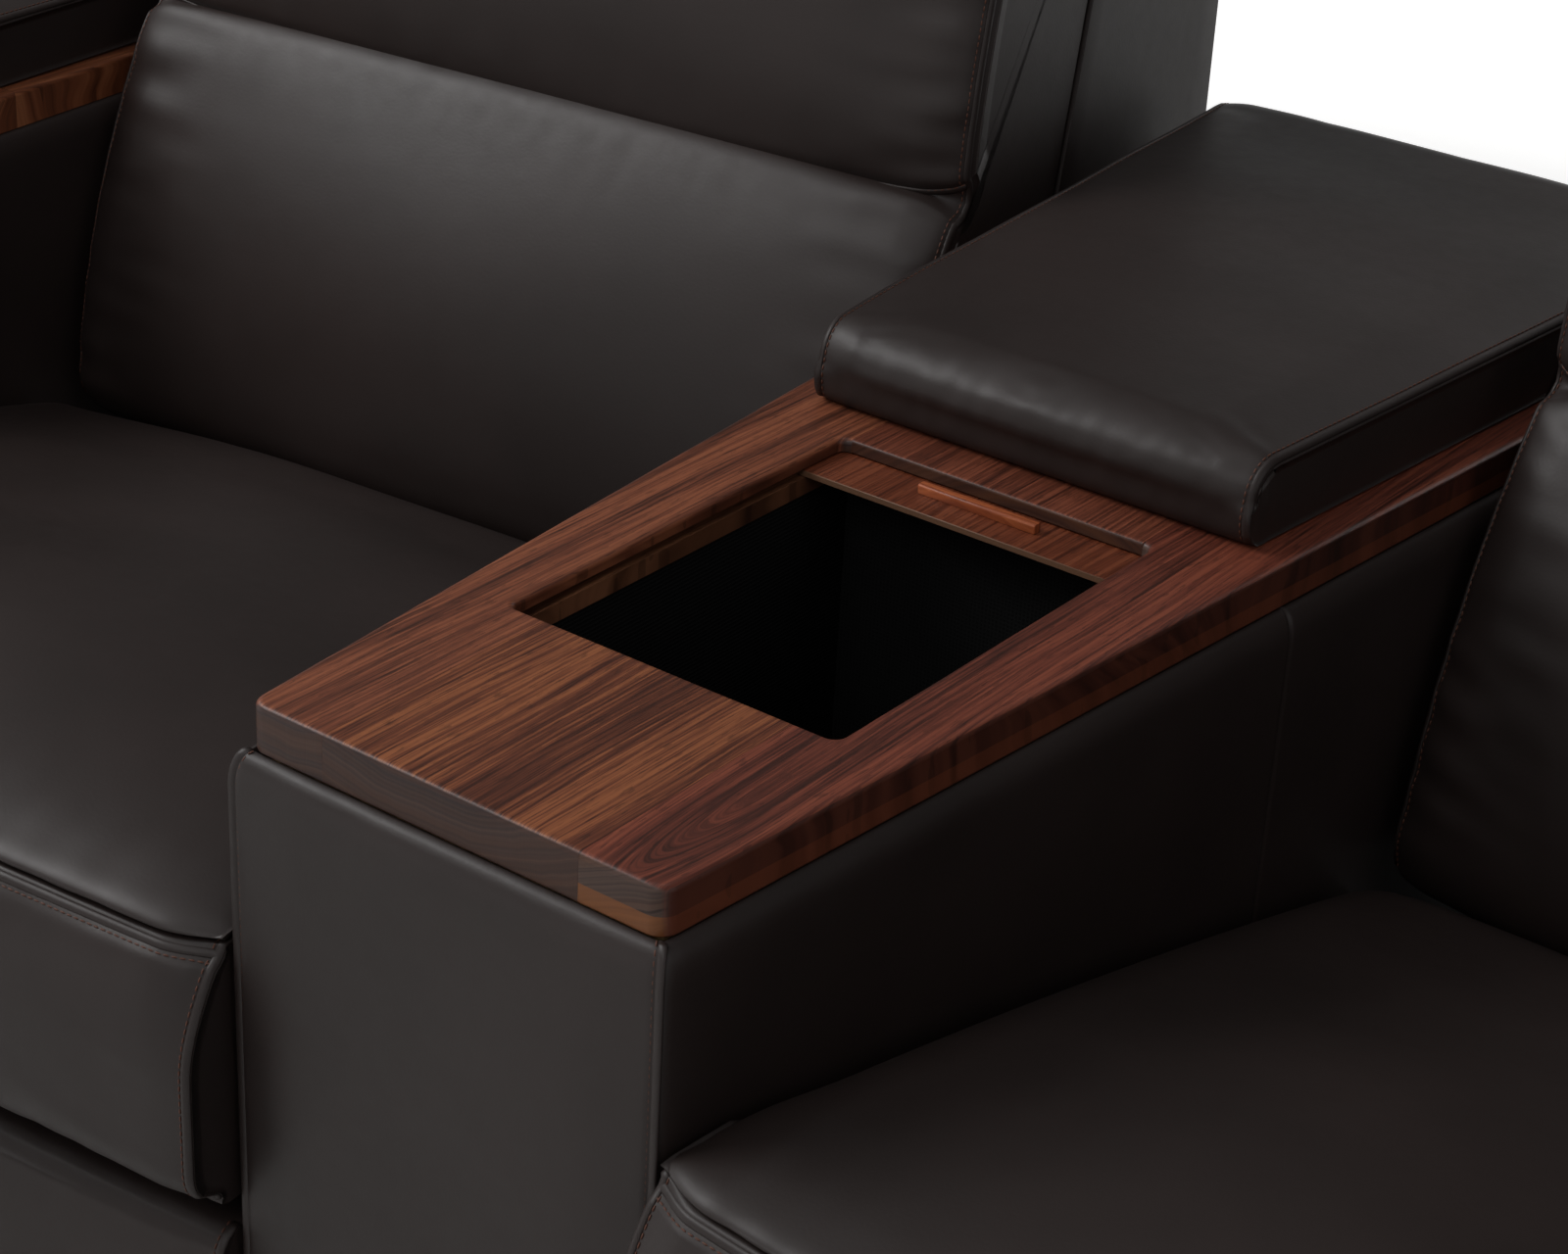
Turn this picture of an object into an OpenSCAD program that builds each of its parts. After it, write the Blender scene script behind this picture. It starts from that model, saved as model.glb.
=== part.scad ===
// Two reclining seats with a wedge-shaped storage console between them and an arm at each end.
// Millimetres, +Z up, the row's front faces -Y and the floor is Z = 0.
// The console is drawn about X = 0 with its walnut top's front edge on Y = 0, and row_y then centres the row.
// Each seat is drawn once in its own frame: X runs from the console's side to the end arm, Y to the back.

/* [Console] */
// Width of the walnut top at its front edge
top_w = 240; // [225:1:280]
// Length of the console from front to back
console_l = 955; // [900:1:1000]
// Angle that each side of the console turns outwards towards the back
wedge = 4.75; // [3:0.25:6]
// Height of the walnut tops above the floor
arm_h = 590; // [570:1:630]
// Thickness of the walnut tops
top_t = 25; // [20:1:30]
// Width of the right and left rails' front ends
rail_w = 46; // [36:1:56]
// Width of the storage opening
opening_w = 194; // [170:1:200]
// Distance of the storage opening from the front edge
opening_y = 149; // [130:1:170]
// Length of the storage opening
opening_l = 267; // [230:1:290]
// Corner radius of the storage opening
opening_r = 6; // [4:1:10]
// Thickness of the walnut above the lid's groove
lip_t = 7.5; // [7:0.5:9]
// Depth of the lined bin below the runners
bin_d = 200; // [120:1:240]
// Thickness of the sliding lid
lid_t = 3.5; // [3:0.5:5]
// How much of the opening the lid covers as stored
lid_shown = 34; // [28:1:50]
// Length of the finger pull
pull_l = 73; // [60:1:100]
// Width of the finger pull
pull_w = 6.5; // [5:0.5:10]
// Height of the finger pull
pull_h = 5.5; // [4:0.5:6]

/* [Arm pads] */
// Distance of the pads from the front edge
pad_y = 440; // [430:1:480]
// Thickness of the pads
pad_t = 53; // [45:1:65]
// How far the console pad stays inside the walnut's edges
pad_inset = 20; // [14:1:30]
// Thickness of the board under the console pad
pad_board_t = 9; // [6:1:12]

/* [End arms] */
// Width of an end arm's walnut top
arm_w = 150; // [130:1:180]
// How far the end arms' pads stay inside the walnut's edges
arm_pad_inset = 12; // [8:1:20]
// Distance of the joint between the two boards of an end arm's top from the front
arm_joint_y = 542; // [500:1:600]

/* [Seats] */
// Clear width between a console side and an end arm
seat_w = 655; // [620:1:700]
// Height of the seam where the seat meets the leg rest
seam_z = 460; // [450:1:472]
// Rise of the seat's nose above that seam
nose_h = 14; // [12:1:20]
// Depth of the seat cushion from its seam to its back end
seat_d = 562; // [530:1:566]
// Thickness of the seat cushion at the front
seat_t = 124; // [112:1:130]
// Backward slope of the seat
seat_tilt = 6; // [4:0.5:8]
// Height of the top of the back
back_h = 1000; // [960:1:1040]

/* [Leg rests] */
// Distance of the hinge line in front of the console's front edge
hinge_out = 20; // [16:1:26]
// Height of the gap between the two pads of a leg rest
pad_split_z = 306; // [296:1:320]
// Height of the lower pad's bottom edge
pad_foot_z = 60; // [50:1:80]

/* [Construction] */
// Thickness of an upholstered panel
panel_t = 14; // [10:1:16]
// How far the upholstered panels stand outside the walnut's edges
panel_out = 8; // [4:1:10]
// Thickness of the frames' boards
board_t = 12; // [10:1:15]
// Height of the feet
foot_h = 40; // [35:1:50]
// Diameter of the feet
foot_d = 44; // [36:1:50]
// Diameter of the pivot tubes
tube_d = 24; // [20:1:28]
// Diameter of the link pins
pin_d = 10; // [8:1:12]
// Diameter of the switch buttons
button_d = 17; // [14:1:20]

/* [Hidden] */

// Gap of a glued or face-to-face joint between two separate pieces
glue = 0.2;
// Clearance between soft pieces, or between a soft piece and what it rests on
rest_gap = 0.3;
// Running clearance on a radius
run_gap = 0.05;
// Clearance of a soft piece from a face that it moves past
slide_gap = 4;

// Colours
walnut = "#6b4030";
walnut_dark = "#523026";
leather = "#2e2a28";
lining = "#101010";
ply = "#b08d62";
steel = "#6d7074";
plastic = "#1c1c1d";

// Arm pads: the crown of their tops, the drop of their side edges and where the board inside ends
pad_crown = 4;
pad_shoulder = 9;
pad_board_inset = 24;

// Heights in the console
slab_z = arm_h - top_t;
lip_z = arm_h - lip_t;
groove_h = lid_t + 1;
runner_top = lip_z - groove_h;
runner_h = 10;
runner_z = runner_top - runner_h;
flange_t = 14;
bin_wall = 5;
bin_z = runner_z - bin_d;
opening_end = opening_y + opening_l;
cross_l = 64;
lid_y = opening_end - lid_shown;
lid_l = opening_l + 13;
lid_lap = 10;
lid_z = runner_top + rest_gap;
groove_x = opening_w / 2 + lid_lap + 0.5;
groove_y1 = lid_y + lid_l + 18;
bin_x = opening_w / 2 + bin_wall;
pull_back = 21;

// Where the panels and frames lie, measured outwards from the walnut's edge
panel_in = panel_out - panel_t;
frame_out = panel_in - glue;
frame_in = frame_out - board_t;

// Seat frame of reference: X = 0 is the console's leather side, X = seat_w is the end arm's
arm_x0 = seat_w + panel_out;
arm_x1 = arm_x0 + arm_w;
side_gap = slide_gap;

// Leg rest: its hinge line is the front seam
hinge_y = -hinge_out;
legrest_t = 38;
legrest_board_t = 15;
board_y0 = hinge_y + legrest_t;
board_y1 = board_y0 + legrest_board_t;
seat_front = board_y1 + 7;
legrest_inset = 3;
pad_gap = 16;
upper_bulge = 18;
lower_bulge = 11;
pad_swell = 2;

// Seat cushion, frame and springs
seat_back_y = hinge_y + 2 + seat_d;
seat_bottom_z = seam_z + nose_h - seat_t;
nose_l = 36;
flat_y = 60;
seat_round = 0.00017;
nose_weight = 0.5;
seat_crown = 16;
seat_shoulder = 22;
spring_t = 4;
seat_rail_h = 40;
seat_rail_t = 25;
seat_frame_x = 30;

// Side plates and pivots
plate_x = 40;
plate_t = 4;
plate_y0 = 70;
plate_z0 = 20;
drive_y = 300;
drive_z = 256;
lever_y = 80;
link_pin_z = 290;
lever_z = link_pin_z - seam_z;
open_pin_gap = 0.6;
motor_w = 116;
motor_r = 24;
motor_reach = 36;
motor_top = 18;
motor_low = 34;
motor_can_l = 90;
motor_gap = 2 * run_gap;
back_motor_front = 48;
back_motor_rear = 24;
back_motor_can_z = 126;
back_pivot_y = 700;
back_pivot_z = 320;
hub_r = tube_d / 2 + 8;
lever_t = 5;
crank_x = 53;
washer_gap = 2;
link_x = crank_x + lever_t + washer_gap;
bracket_x = link_x + lever_t + washer_gap;
link_w = 16;

// Blocks that bolt the side plates to the console and the end arms
bar_h = 24;
joiner_y = [120, 560];
joiner_z = 60;
joiner_w = 40;

// Switch buttons on the end arms' inner sides
switch_y = [172, 214];
switch_drop = 102;
switch_z = arm_h - switch_drop;
switch_pad = 22;
switch_t = 3;
switch_half_h = 18;
button_gap = 0.3;
button_out = 2.2;
button_l = 11;
pocket_d = 10;

// Back: the seam line between the cushion and the outer shell leans by shell_lean
shell_lean = 11;
shell_y = 722;
shell_rear = 989;
shell_z = 190;
shell_t = 12;
shell_r = 45;
back_bottom_z = 355;
back_front_y = 566;
back_front_lean = 17.9;
back_seam_z = 636;
upright_d = 36;
upright_w = 25;

// The row's middle between its front-most and rear-most points
row_front = -((seat_w - side_gap) * sin(wedge) + (hinge_out + upper_bulge + pad_swell) * cos(wedge));
row_rear = shell_rear * cos(wedge);
row_y = -(row_front + row_rear) / 2;

// Half width of the console at y, d millimetres outside the walnut's edge
function half_w(y, d) = top_w / 2 + y * tan(wedge) + d / cos(wedge);
// The seam line of the back at height z
function seam_y(z) = shell_y + (z - back_pivot_z) * tan(shell_lean);
// The front of the back cushion at its side edges at height z
function face_y(z) = back_front_y + (z - back_bottom_z) * tan(back_front_lean);
// Height of the seat's sloping bottom at y
function deck_z(y) = seat_bottom_z - (y - seat_front) * tan(seat_tilt);
// Points on an arc in a plane: centre, radius, first and last angle, steps
function arc(c, r, a0, a1, n) = [for (i = [0:n]) let (a = a0 + (a1 - a0) * i / n) c + r * [cos(a), sin(a)]];
// Places across a soft form from -1 to 1, closer together near its ends
function places(n) = [for (i = [-n:n]) sin(90 * i / n)];
// How far a soft form's face stands out at place s: its crown, less its rounded shoulder at the ends
function swell(s, crown, shoulder) = crown * (1 - s * s) - shoulder * pow(abs(s), 14);

module placed() {
    translate([0, row_y, 0]) children();
}

// Carries a piece drawn in a seat's frame to the right seat (side 1) or the left one (side -1)
module at_seat(side) {
    placed()
        mirror([side < 0 ? 1 : 0, 0, 0])
            translate([top_w / 2, 0, 0]) rotate([0, 0, -wedge]) translate([panel_out, 0, 0])
                children();
}

// A box from corner a to corner b
module block(a, b) {
    translate(a) cube(b - a);
}

// A flat plate in the Y-Z plane, from its outline, between x0 and x1
module yz_plate(outline, x0, x1) {
    translate([x0, 0, 0]) rotate([90, 0, 90]) linear_extrude(x1 - x0) polygon(outline);
}

// A closed form through rings of equal length along X, each ordered from the front along its bottom
module loft(rings) {
    n = len(rings[0]);
    m = len(rings);
    ones = [for (j = [1:n]) 1];
    ends = [for (r = [rings[0], rings[m - 1]]) [for (k = [0:2]) [for (p = r) p[k]] * ones / n]];
    points = concat([for (r = rings) each r], ends);
    sides = [for (i = [0:m - 2]) for (j = [0:n - 1]) let (k = (j + 1) % n)
        each [[i * n + j, (i + 1) * n + k, i * n + k], [i * n + j, (i + 1) * n + j, (i + 1) * n + k]]];
    first = [for (j = [0:n - 1]) [m * n, j, (j + 1) % n]];
    last = [for (j = [0:n - 1]) [m * n + 1, (m - 1) * n + (j + 1) % n, (m - 1) * n + j]];
    polyhedron(points, concat(sides, first, last), convexity = 6);
}

// A soft form between the two sides x0(y) and x1(y). Each row of its outline is [y, z, ny, nz, bulge]:
// a point, the way its face swells there, and what it swells by on top of the crown
module soft_form(outline, x0, x1, crown, shoulder, steps = 7) {
    loft([for (s = places(steps)) [for (p = outline) let (
        e = swell(s, crown, shoulder) + p[4] * (1 - pow(s, 6)),
        y = p.x + e * p[2])
        [(x0(y) + x1(y)) / 2 + s * (x1(y) - x0(y)) / 2, y, p.y + e * p[3]]]]);
}

// An arc of a soft outline whose face swells outwards along it, by weight
function soft_arc(c, r, a0, a1, n, weight = 1) = [for (i = [0:n]) let (a = a0 + (a1 - a0) * i / n)
    [c.x + r * cos(a), c.y + r * sin(a), weight * cos(a), weight * sin(a), 0]];

// The outline of an arm pad lying on height z, between y0 and y1, h thick
function pad_outline(y0, y1, z, h) = let (r = h / 2 - 1) concat(
    [[y0 + r, z, 0, 0, 0], [(y0 + y1) / 2, z, 0, 0, 0], [y1 - r, z, 0, 0, 0]],
    soft_arc([y1 - r, z + h - r], r, -40, 90, 4),
    [for (i = [1:6]) [y1 - r - (y1 - y0 - 2 * r) * i / 7, z + h, 0, 1, 0]],
    soft_arc([y0 + r, z + h - r], r, 90, 220, 5));

// A prism between y0 and y1 whose sides follow the console's, d outside the walnut's edges
module wedge_prism(y0, y1, d, z0, z1) {
    translate([0, 0, z0]) linear_extrude(z1 - z0)
        polygon([[-half_w(y0, d), y0], [half_w(y0, d), y0], [half_w(y1, d), y1], [-half_w(y1, d), y1]]);
}

// An upholstered side panel t thick, its outer face on X = 0, with a rounded top edge
module side_panel(y0, y1, t, z0, z1) {
    r = 9;
    outline = concat([[-t, z0], [0, z0]], arc([-r, z1 - r], r, 0, 90, 6), [[-t, z1]]);
    translate([0, y1, 0]) rotate([90, 0, 0]) linear_extrude(y1 - y0) polygon(outline);
}

// An upholstered front or back panel, its outer face on the side that out says, with a rounded top edge
module end_panel(y_outer, out, z0, z1) {
    r = 9;
    y_inner = y_outer - out * panel_t;
    reach = half_w(console_l, panel_out) + 1;
    outline = concat([[y_inner, z0], [y_outer, z0]],
        arc([y_outer - out * r, z1 - r], r, out > 0 ? 0 : 180, 90, 6), [[y_inner, z1]]);
    intersection() {
        yz_plate(outline, -reach, reach);
        wedge_prism(min(y_inner, y_outer), max(y_inner, y_outer), panel_out, z0, z1);
    }
}

// Console

module console_frame() {
    d = frame_in - glue;
    z1 = slab_z - glue;
    front = -panel_in + glue;
    rear = console_l - panel_t - glue;
    divider_y = opening_end + 14;
    color(ply) placed() {
        wedge_prism(front, front + board_t, d, foot_h, z1);
        wedge_prism(rear - board_t, rear, d, foot_h, z1);
        wedge_prism(front + board_t + glue, rear - board_t - glue, d, foot_h, foot_h + board_t);
        wedge_prism(divider_y, divider_y + board_t, d, foot_h + board_t + glue, slab_z - flange_t - glue);
    }
    color(ply) for (side = [-1, 1]) at_seat(side)
        block([-panel_t - glue - board_t, front + 2, foot_h], [-panel_t - glue, rear - 2, z1]);
}

module console_front_cover() {
    color(leather) placed() end_panel(-panel_out, -1, foot_h, slab_z - glue);
}

module console_back_cover() {
    color(leather) placed() end_panel(console_l, 1, foot_h, slab_z - glue);
}

module console_side_cover(side) {
    y0 = (-panel_in + rest_gap + panel_out * sin(wedge)) / cos(wedge);
    y1 = (console_l - panel_t - rest_gap + panel_in * sin(wedge)) / cos(wedge);
    color(leather) at_seat(side) side_panel(y0, y1, panel_t, foot_h, slab_z - glue);
}

// The right rail in plan. Its front corner is rounded, and behind the opening it is a corner's radius wider
module rail_plan() {
    r = 10;
    c = [top_w / 2 + r * tan(wedge) - r / cos(wedge), r];
    inner = top_w / 2 - rail_w;
    rear_x = opening_w / 2 - opening_r;
    difference() {
        polygon(concat([[inner, 0]], arc(c, r, -90, -wedge, 6),
            [[half_w(console_l, 0), console_l], [rear_x, console_l],
             [rear_x, opening_y + opening_r], [inner, opening_y + opening_r]]));
        translate([-opening_w / 2 + opening_r, opening_y + opening_r]) offset(opening_r, $fn = 48)
            square([opening_w - 2 * opening_r, opening_l - 2 * opening_r]);
    }
}

// What the lid's groove takes out of the walnut between its lip and its underside
module lid_groove(x) {
    block([-x, opening_y, slab_z - 1], [x, groove_y1, lip_z]);
}

module top_rail(side) {
    color(walnut) placed() difference() {
        mirror([side < 0 ? 1 : 0, 0, 0]) translate([0, 0, slab_z]) linear_extrude(top_t) rail_plan();
        lid_groove(groove_x);
    }
}

module top_front_boards() {
    x = top_w / 2 - rail_w - glue;
    color(walnut) placed() block([-x, 0, slab_z], [x, opening_y, arm_h]);
}

module top_cross_rail() {
    x = opening_w / 2 - opening_r - glue;
    color(walnut) placed() block([-x, opening_end, lip_z], [x, opening_end + cross_l, arm_h]);
}

module top_rear_board() {
    x = opening_w / 2 - opening_r - glue;
    color(walnut) placed() difference() {
        block([-x, opening_end + cross_l + glue, slab_z], [x, console_l, arm_h]);
        lid_groove(groove_x);
    }
}

// Two strips glued into the groove that carry the lid's edges, with flanges under the rails
module lid_runners() {
    x0 = opening_w / 2 - 1;
    x1 = groove_x - glue;
    web_x = bin_x + 2 * glue;
    y0 = opening_y + glue;
    y1 = groove_y1 - glue;
    d = frame_in - glue;
    color(walnut) placed() for (m = [0, 1]) mirror([m, 0, 0]) {
        block([x0, y0, runner_z], [x1, y1, runner_top]);
        block([web_x, y0, slab_z - flange_t], [x1, y1, runner_top - 1]);
        translate([0, 0, slab_z - flange_t]) linear_extrude(flange_t - glue)
            polygon([[web_x, y0], [half_w(y0, d), y0], [half_w(y1, d), y1], [web_x, y1]]);
    }
}

module storage_bin() {
    x = bin_x - bin_wall;
    y0 = opening_y + glue;
    y1 = opening_end + 12;
    color(lining) placed() difference() {
        block([-bin_x, y0, bin_z], [bin_x, y1, runner_z - glue]);
        block([-x, y0 + bin_wall, bin_z + bin_wall], [x, y1 - bin_wall, runner_z]);
    }
}

module storage_lid() {
    x = opening_w / 2 + lid_lap;
    color(walnut_dark) placed() block([-x, lid_y, lid_z], [x, lid_y + lid_l, lid_z + lid_t]);
}

module lid_pull() {
    z = lid_z + lid_t;
    y = lid_y + pull_back;
    color("#7c4428") placed() translate([0, y, z]) difference() {
        block([-pull_l / 2, -pull_w / 2, glue], [pull_l / 2, pull_w / 2, pull_h]);
        translate([-pull_l, pull_w / 2 + 1, pull_h / 2]) rotate([0, 90, 0])
            cylinder(h = 2 * pull_l, r = pull_h / 4, $fn = 32);
    }
}

// The console pad's board, or with a gap the recess in the pad that holds it
module pad_board(gap) {
    wedge_prism(pad_y + pad_board_inset - gap, console_l - pad_board_inset + gap,
        gap - pad_inset - pad_board_inset, arm_h + glue - gap, arm_h + pad_board_t + gap);
}

module console_pad_board() {
    color(ply) placed() pad_board(0);
}

module console_pad() {
    side = function(y) half_w(y, -pad_inset);
    left = function(y) -side(y);
    color(leather) placed() difference() {
        soft_form(pad_outline(pad_y, console_l - 2, arm_h + rest_gap, pad_t - pad_crown),
            left, side, pad_crown, pad_shoulder, 7);
        pad_board(rest_gap);
    }
}

// Feet of the console, the end arms and the seats' side plates
module feet() {
    color(plastic) {
        placed() for (sx = [-1, 1]) for (y = [50, console_l - 55])
            translate([sx * (half_w(y, 0) - foot_d), y, 0]) cylinder(h = foot_h - glue, d = foot_d, $fn = 48);
        for (side = [-1, 1]) at_seat(side) {
            for (x = [arm_x0 + foot_d, arm_x1 - foot_d]) for (y = [60, console_l - 65])
                translate([x, y, 0]) cylinder(h = foot_h - glue, d = foot_d, $fn = 48);
            for (x = [plate_x, seat_w - plate_x]) for (y = [plate_y0 + 35, back_pivot_y - 35])
                translate([x, y, 0]) cylinder(h = plate_z0 - glue, d = foot_d / 2 + 8, $fn = 48);
        }
    }
}

// End arms

module arm_frame(side) {
    x0 = seat_w + panel_t + glue;
    x1 = arm_x1 + panel_in - glue;
    y0 = -panel_in + glue;
    y1 = console_l - panel_t - glue;
    z1 = slab_z - glue;
    b = board_t + glue;
    color(ply) at_seat(side) {
        block([x0, y0, foot_h], [x1, y0 + board_t, z1]);
        block([x0, y1 - board_t, foot_h], [x1, y1, z1]);
        block([x0, y0 + b, foot_h], [x1, y1 - b, foot_h + board_t]);
        block([x0, y0 + b, z1 - board_t], [x1, y1 - b, z1]);
        block([x0, (y0 + y1) / 2, foot_h + b], [x1, (y0 + y1) / 2 + board_t, z1 - b]);
    }
}

// Inner, outer, front and back panels of an end arm, with a pocket behind each switch button
module arm_cover(side) {
    z1 = slab_z - glue;
    y0 = -panel_out;
    x1 = arm_x1 + panel_out;
    color(leather) at_seat(side) {
        difference() {
            translate([seat_w, 0, 0]) mirror([1, 0, 0]) side_panel(y0, console_l, panel_t, foot_h, z1);
            for (y = switch_y) translate([seat_w - 1, y, switch_z])
                rotate([0, 90, 0]) cylinder(h = pocket_d, d = button_d + 2, $fn = 48);
        }
        translate([x1, 0, 0]) side_panel(y0, console_l, panel_t, foot_h, z1);
        block([seat_w + panel_t + glue, y0, foot_h], [x1 - panel_t - glue, y0 + panel_t, z1]);
        block([seat_w + panel_t + glue, console_l - panel_t, foot_h], [x1 - panel_t - glue, console_l, z1]);
    }
}

module arm_top(side) {
    r = 10;
    outline = concat(arc([arm_x0 + r, r], r, 180, 270, 6), arc([arm_x1 - r, r], r, -90, 0, 6),
        [[arm_x1, arm_joint_y], [arm_x0, arm_joint_y]]);
    color(walnut) at_seat(side) translate([0, 0, slab_z]) linear_extrude(top_t) polygon(outline);
}

module arm_top_rear(side) {
    color(walnut) at_seat(side) block([arm_x0, arm_joint_y + glue, slab_z], [arm_x1, console_l, arm_h]);
}

module arm_pad(side) {
    x0 = arm_x0 + arm_pad_inset;
    x1 = arm_x1 - arm_pad_inset;
    color(leather) at_seat(side)
        soft_form(pad_outline(pad_y, console_l - 2, arm_h + rest_gap, pad_t - pad_crown),
            function(y) x0, function(y) x1, pad_crown, pad_shoulder, 6);
}

// A plate with two button holes on the end arm's inner side
module switch_plate(side) {
    color(steel) at_seat(side) difference() {
        block([seat_w - switch_t, switch_y[0] - switch_pad, switch_z - switch_half_h],
              [seat_w - glue, switch_y[1] + switch_pad, switch_z + switch_half_h]);
        for (y = switch_y) translate([seat_w - 2 * switch_t, y, switch_z])
            rotate([0, 90, 0]) cylinder(h = 3 * switch_t, d = button_d + 2 * button_gap, $fn = 48);
    }
}

module button(side, y) {
    color(plastic) at_seat(side) translate([seat_w - switch_t - button_out, y, switch_z])
        rotate([0, 90, 0]) cylinder(h = button_l, d = button_d, $fn = 48);
}

// Seats

// A side plate's outline, with its two bearing holes
module plate_plan() {
    front = seat_front + 8;
    top = function(y) deck_z(y) - seat_rail_h - glue;
    rear = back_pivot_y + hub_r + 8;
    head = back_pivot_z + hub_r + 3;
    foot_y = back_pivot_y - 4;
    difference() {
        polygon([[plate_y0, plate_z0], [foot_y, plate_z0], [rear, plate_z0 + 40], [rear, head],
                 [rear - 68, head], [seat_back_y + 20, top(seat_back_y + 20)], [front, top(front)],
                 [front, top(front) - 45], [plate_y0, plate_z0 + 180]]);
        for (c = [[drive_y, drive_z], [back_pivot_y, back_pivot_z]])
            translate(c) circle(tube_d / 2 + run_gap, $fn = 96);
    }
}

module base_frame(side) {
    x0 = plate_x + plate_t + glue;
    x1 = seat_w - x0;
    color(steel) at_seat(side) {
        for (x = [plate_x, seat_w - plate_x - plate_t])
            translate([x, 0, 0]) rotate([90, 0, 90]) linear_extrude(plate_t) plate_plan();
        block([x0, plate_y0 + 20, plate_z0 + 5], [x1, plate_y0 + 50, plate_z0 + 25]);
        block([x0, back_pivot_y - 50, plate_z0 + 10], [x1, back_pivot_y - 20, plate_z0 + 40]);
        block([x0, drive_y + motor_reach - 1, drive_z - bar_h / 2],
              [x1, drive_y + motor_reach + bar_h, drive_z + bar_h / 2]);
        block([x0, back_pivot_y - back_motor_front - bar_h, back_pivot_z - bar_h / 2],
              [x1, back_pivot_y - back_motor_front, back_pivot_z + bar_h / 2]);
        both_ends() for (y = joiner_y)
            block([rest_gap, y, joiner_z], [plate_x - glue, y + joiner_w, joiner_z + joiner_w]);
    }
}

// What a pivot tube at y and z takes out of a motor between x0 and x1
module tube_hole(y, z, x0, x1) {
    translate([x0 - 1, y, z]) rotate([0, 90, 0])
        cylinder(h = x1 - x0 + 2, r = tube_d / 2 + motor_gap, $fn = 96);
}

// Gearmotors round the drive tube and the back's pivot tube, each seated on its crossbar
module motors(side) {
    x0 = (seat_w - motor_w) / 2;
    x1 = x0 + motor_w;
    can_x = x0 + motor_w / 4;
    color(plastic) at_seat(side) {
        difference() {
            union() {
                block([x0, drive_y - motor_reach, drive_z - motor_low],
                      [x1, drive_y + motor_reach - 1 - glue, drive_z + motor_top]);
                translate([can_x, drive_y - motor_reach + 1, drive_z - motor_r / 6]) rotate([90, 0, 0])
                    cylinder(h = motor_can_l, r = motor_r, $fn = 64);
            }
            tube_hole(drive_y, drive_z, x0, x1);
        }
        difference() {
            union() {
                block([x0, back_pivot_y - back_motor_front + glue, back_pivot_z - motor_low],
                      [x1, back_pivot_y + back_motor_rear, back_pivot_z + motor_top]);
                translate([can_x, back_pivot_y, back_pivot_z - back_motor_can_z])
                    cylinder(h = motor_can_l + 10, r = motor_r, $fn = 64);
            }
            tube_hole(back_pivot_y, back_pivot_z, x0, x1);
        }
    }
}

// A bar in the Y-Z plane from point a to point b, with round eyes w wide at its ends
module bar_plan(a, b, w) {
    d = b - a;
    waist = w - 4;
    translate(a) rotate(atan2(d.y, d.x)) translate([0, -waist / 2]) square([norm(d), waist]);
    for (p = [a, b]) translate(p) circle(d = w, $fn = 48);
}

// Carries a piece drawn at the seat's console side to both of its sides
module both_ends() {
    children();
    translate([seat_w, 0, 0]) mirror([1, 0, 0]) children();
}

module drive_tube(side) {
    centre = [drive_y, drive_z];
    tip = centre + [lever_y, lever_z];
    color(steel) at_seat(side) {
        translate([plate_x - 2, drive_y, drive_z]) rotate([0, 90, 0])
            cylinder(h = seat_w - 2 * plate_x + 4, d = tube_d, $fn = 96);
        both_ends() {
            translate([crank_x, 0, 0]) rotate([90, 0, 90]) linear_extrude(lever_t) union() {
                bar_plan(centre, tip, link_w + 2);
                translate(centre) circle(hub_r, $fn = 64);
            }
            translate([crank_x, tip.x, tip.y]) rotate([0, 90, 0])
                cylinder(h = 2 * (lever_t + washer_gap), d = pin_d, $fn = 64);
        }
    }
}

// Bars that carry the drive cranks' swing to the leg rest. The hole at the bracket's pin is the open pivot
module drive_links(side) {
    crank = [drive_y + lever_y, drive_z + lever_z];
    lever = [hinge_y + lever_y, seam_z + lever_z];
    color(steel) at_seat(side) both_ends()
        translate([link_x, 0, 0]) rotate([90, 0, 90]) linear_extrude(lever_t) difference() {
            bar_plan(crank, lever, link_w + 4);
            translate(crank) circle(pin_d / 2 + run_gap, $fn = 96);
            translate(lever) circle(pin_d / 2 + open_pin_gap, $fn = 96);
        }
}

module legrest_brackets(side) {
    y = board_y1 + glue;
    pin = [hinge_y + lever_y, seam_z + lever_z];
    color(steel) at_seat(side) both_ends() {
        yz_plate([[y, pin.y - 34], [pin.x, pin.y - 12], [pin.x + 10, pin.y - 6], [pin.x + 10, pin.y + 6],
                  [pin.x, pin.y + 10], [y, pin.y + 10]], bracket_x, bracket_x + lever_t);
        translate([link_x - 1, pin.x, pin.y]) rotate([0, 90, 0])
            cylinder(h = bracket_x + lever_t - link_x + 1, d = pin_d, $fn = 64);
    }
}

module legrest_board(side) {
    inset = 13;
    color(ply) at_seat(side)
        block([inset, board_y0, pad_foot_z + 2], [seat_w - inset, board_y1, seam_z - 6]);
}

// The outline of a leg-rest pad between two heights. Its front bulges by b, and a little more in the middle
function front_outline(z0, z1, r0, r1, b) = let (y0 = hinge_y, y1 = board_y0 - rest_gap) concat(
    [[y0 + r0 + 6, z0, 0, 0, 0], [y1, z0, 0, 0, 0], [y1, z1, 0, 0, 0]],
    soft_arc([y0 + r1, z1 - r1], r1, 90, 180, 3, 0),
    [for (i = [1:8]) let (t = i / 9, w = sin(180 * t))
        [y0 - b * pow(w, 0.7), z1 - r1 - (z1 - z0 - r0 - r1) * t, -w, 0, (pad_swell - 1) * w]],
    soft_arc([y0 + r0, z0 + r0], r0, 180, 260, 3, 0));

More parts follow.
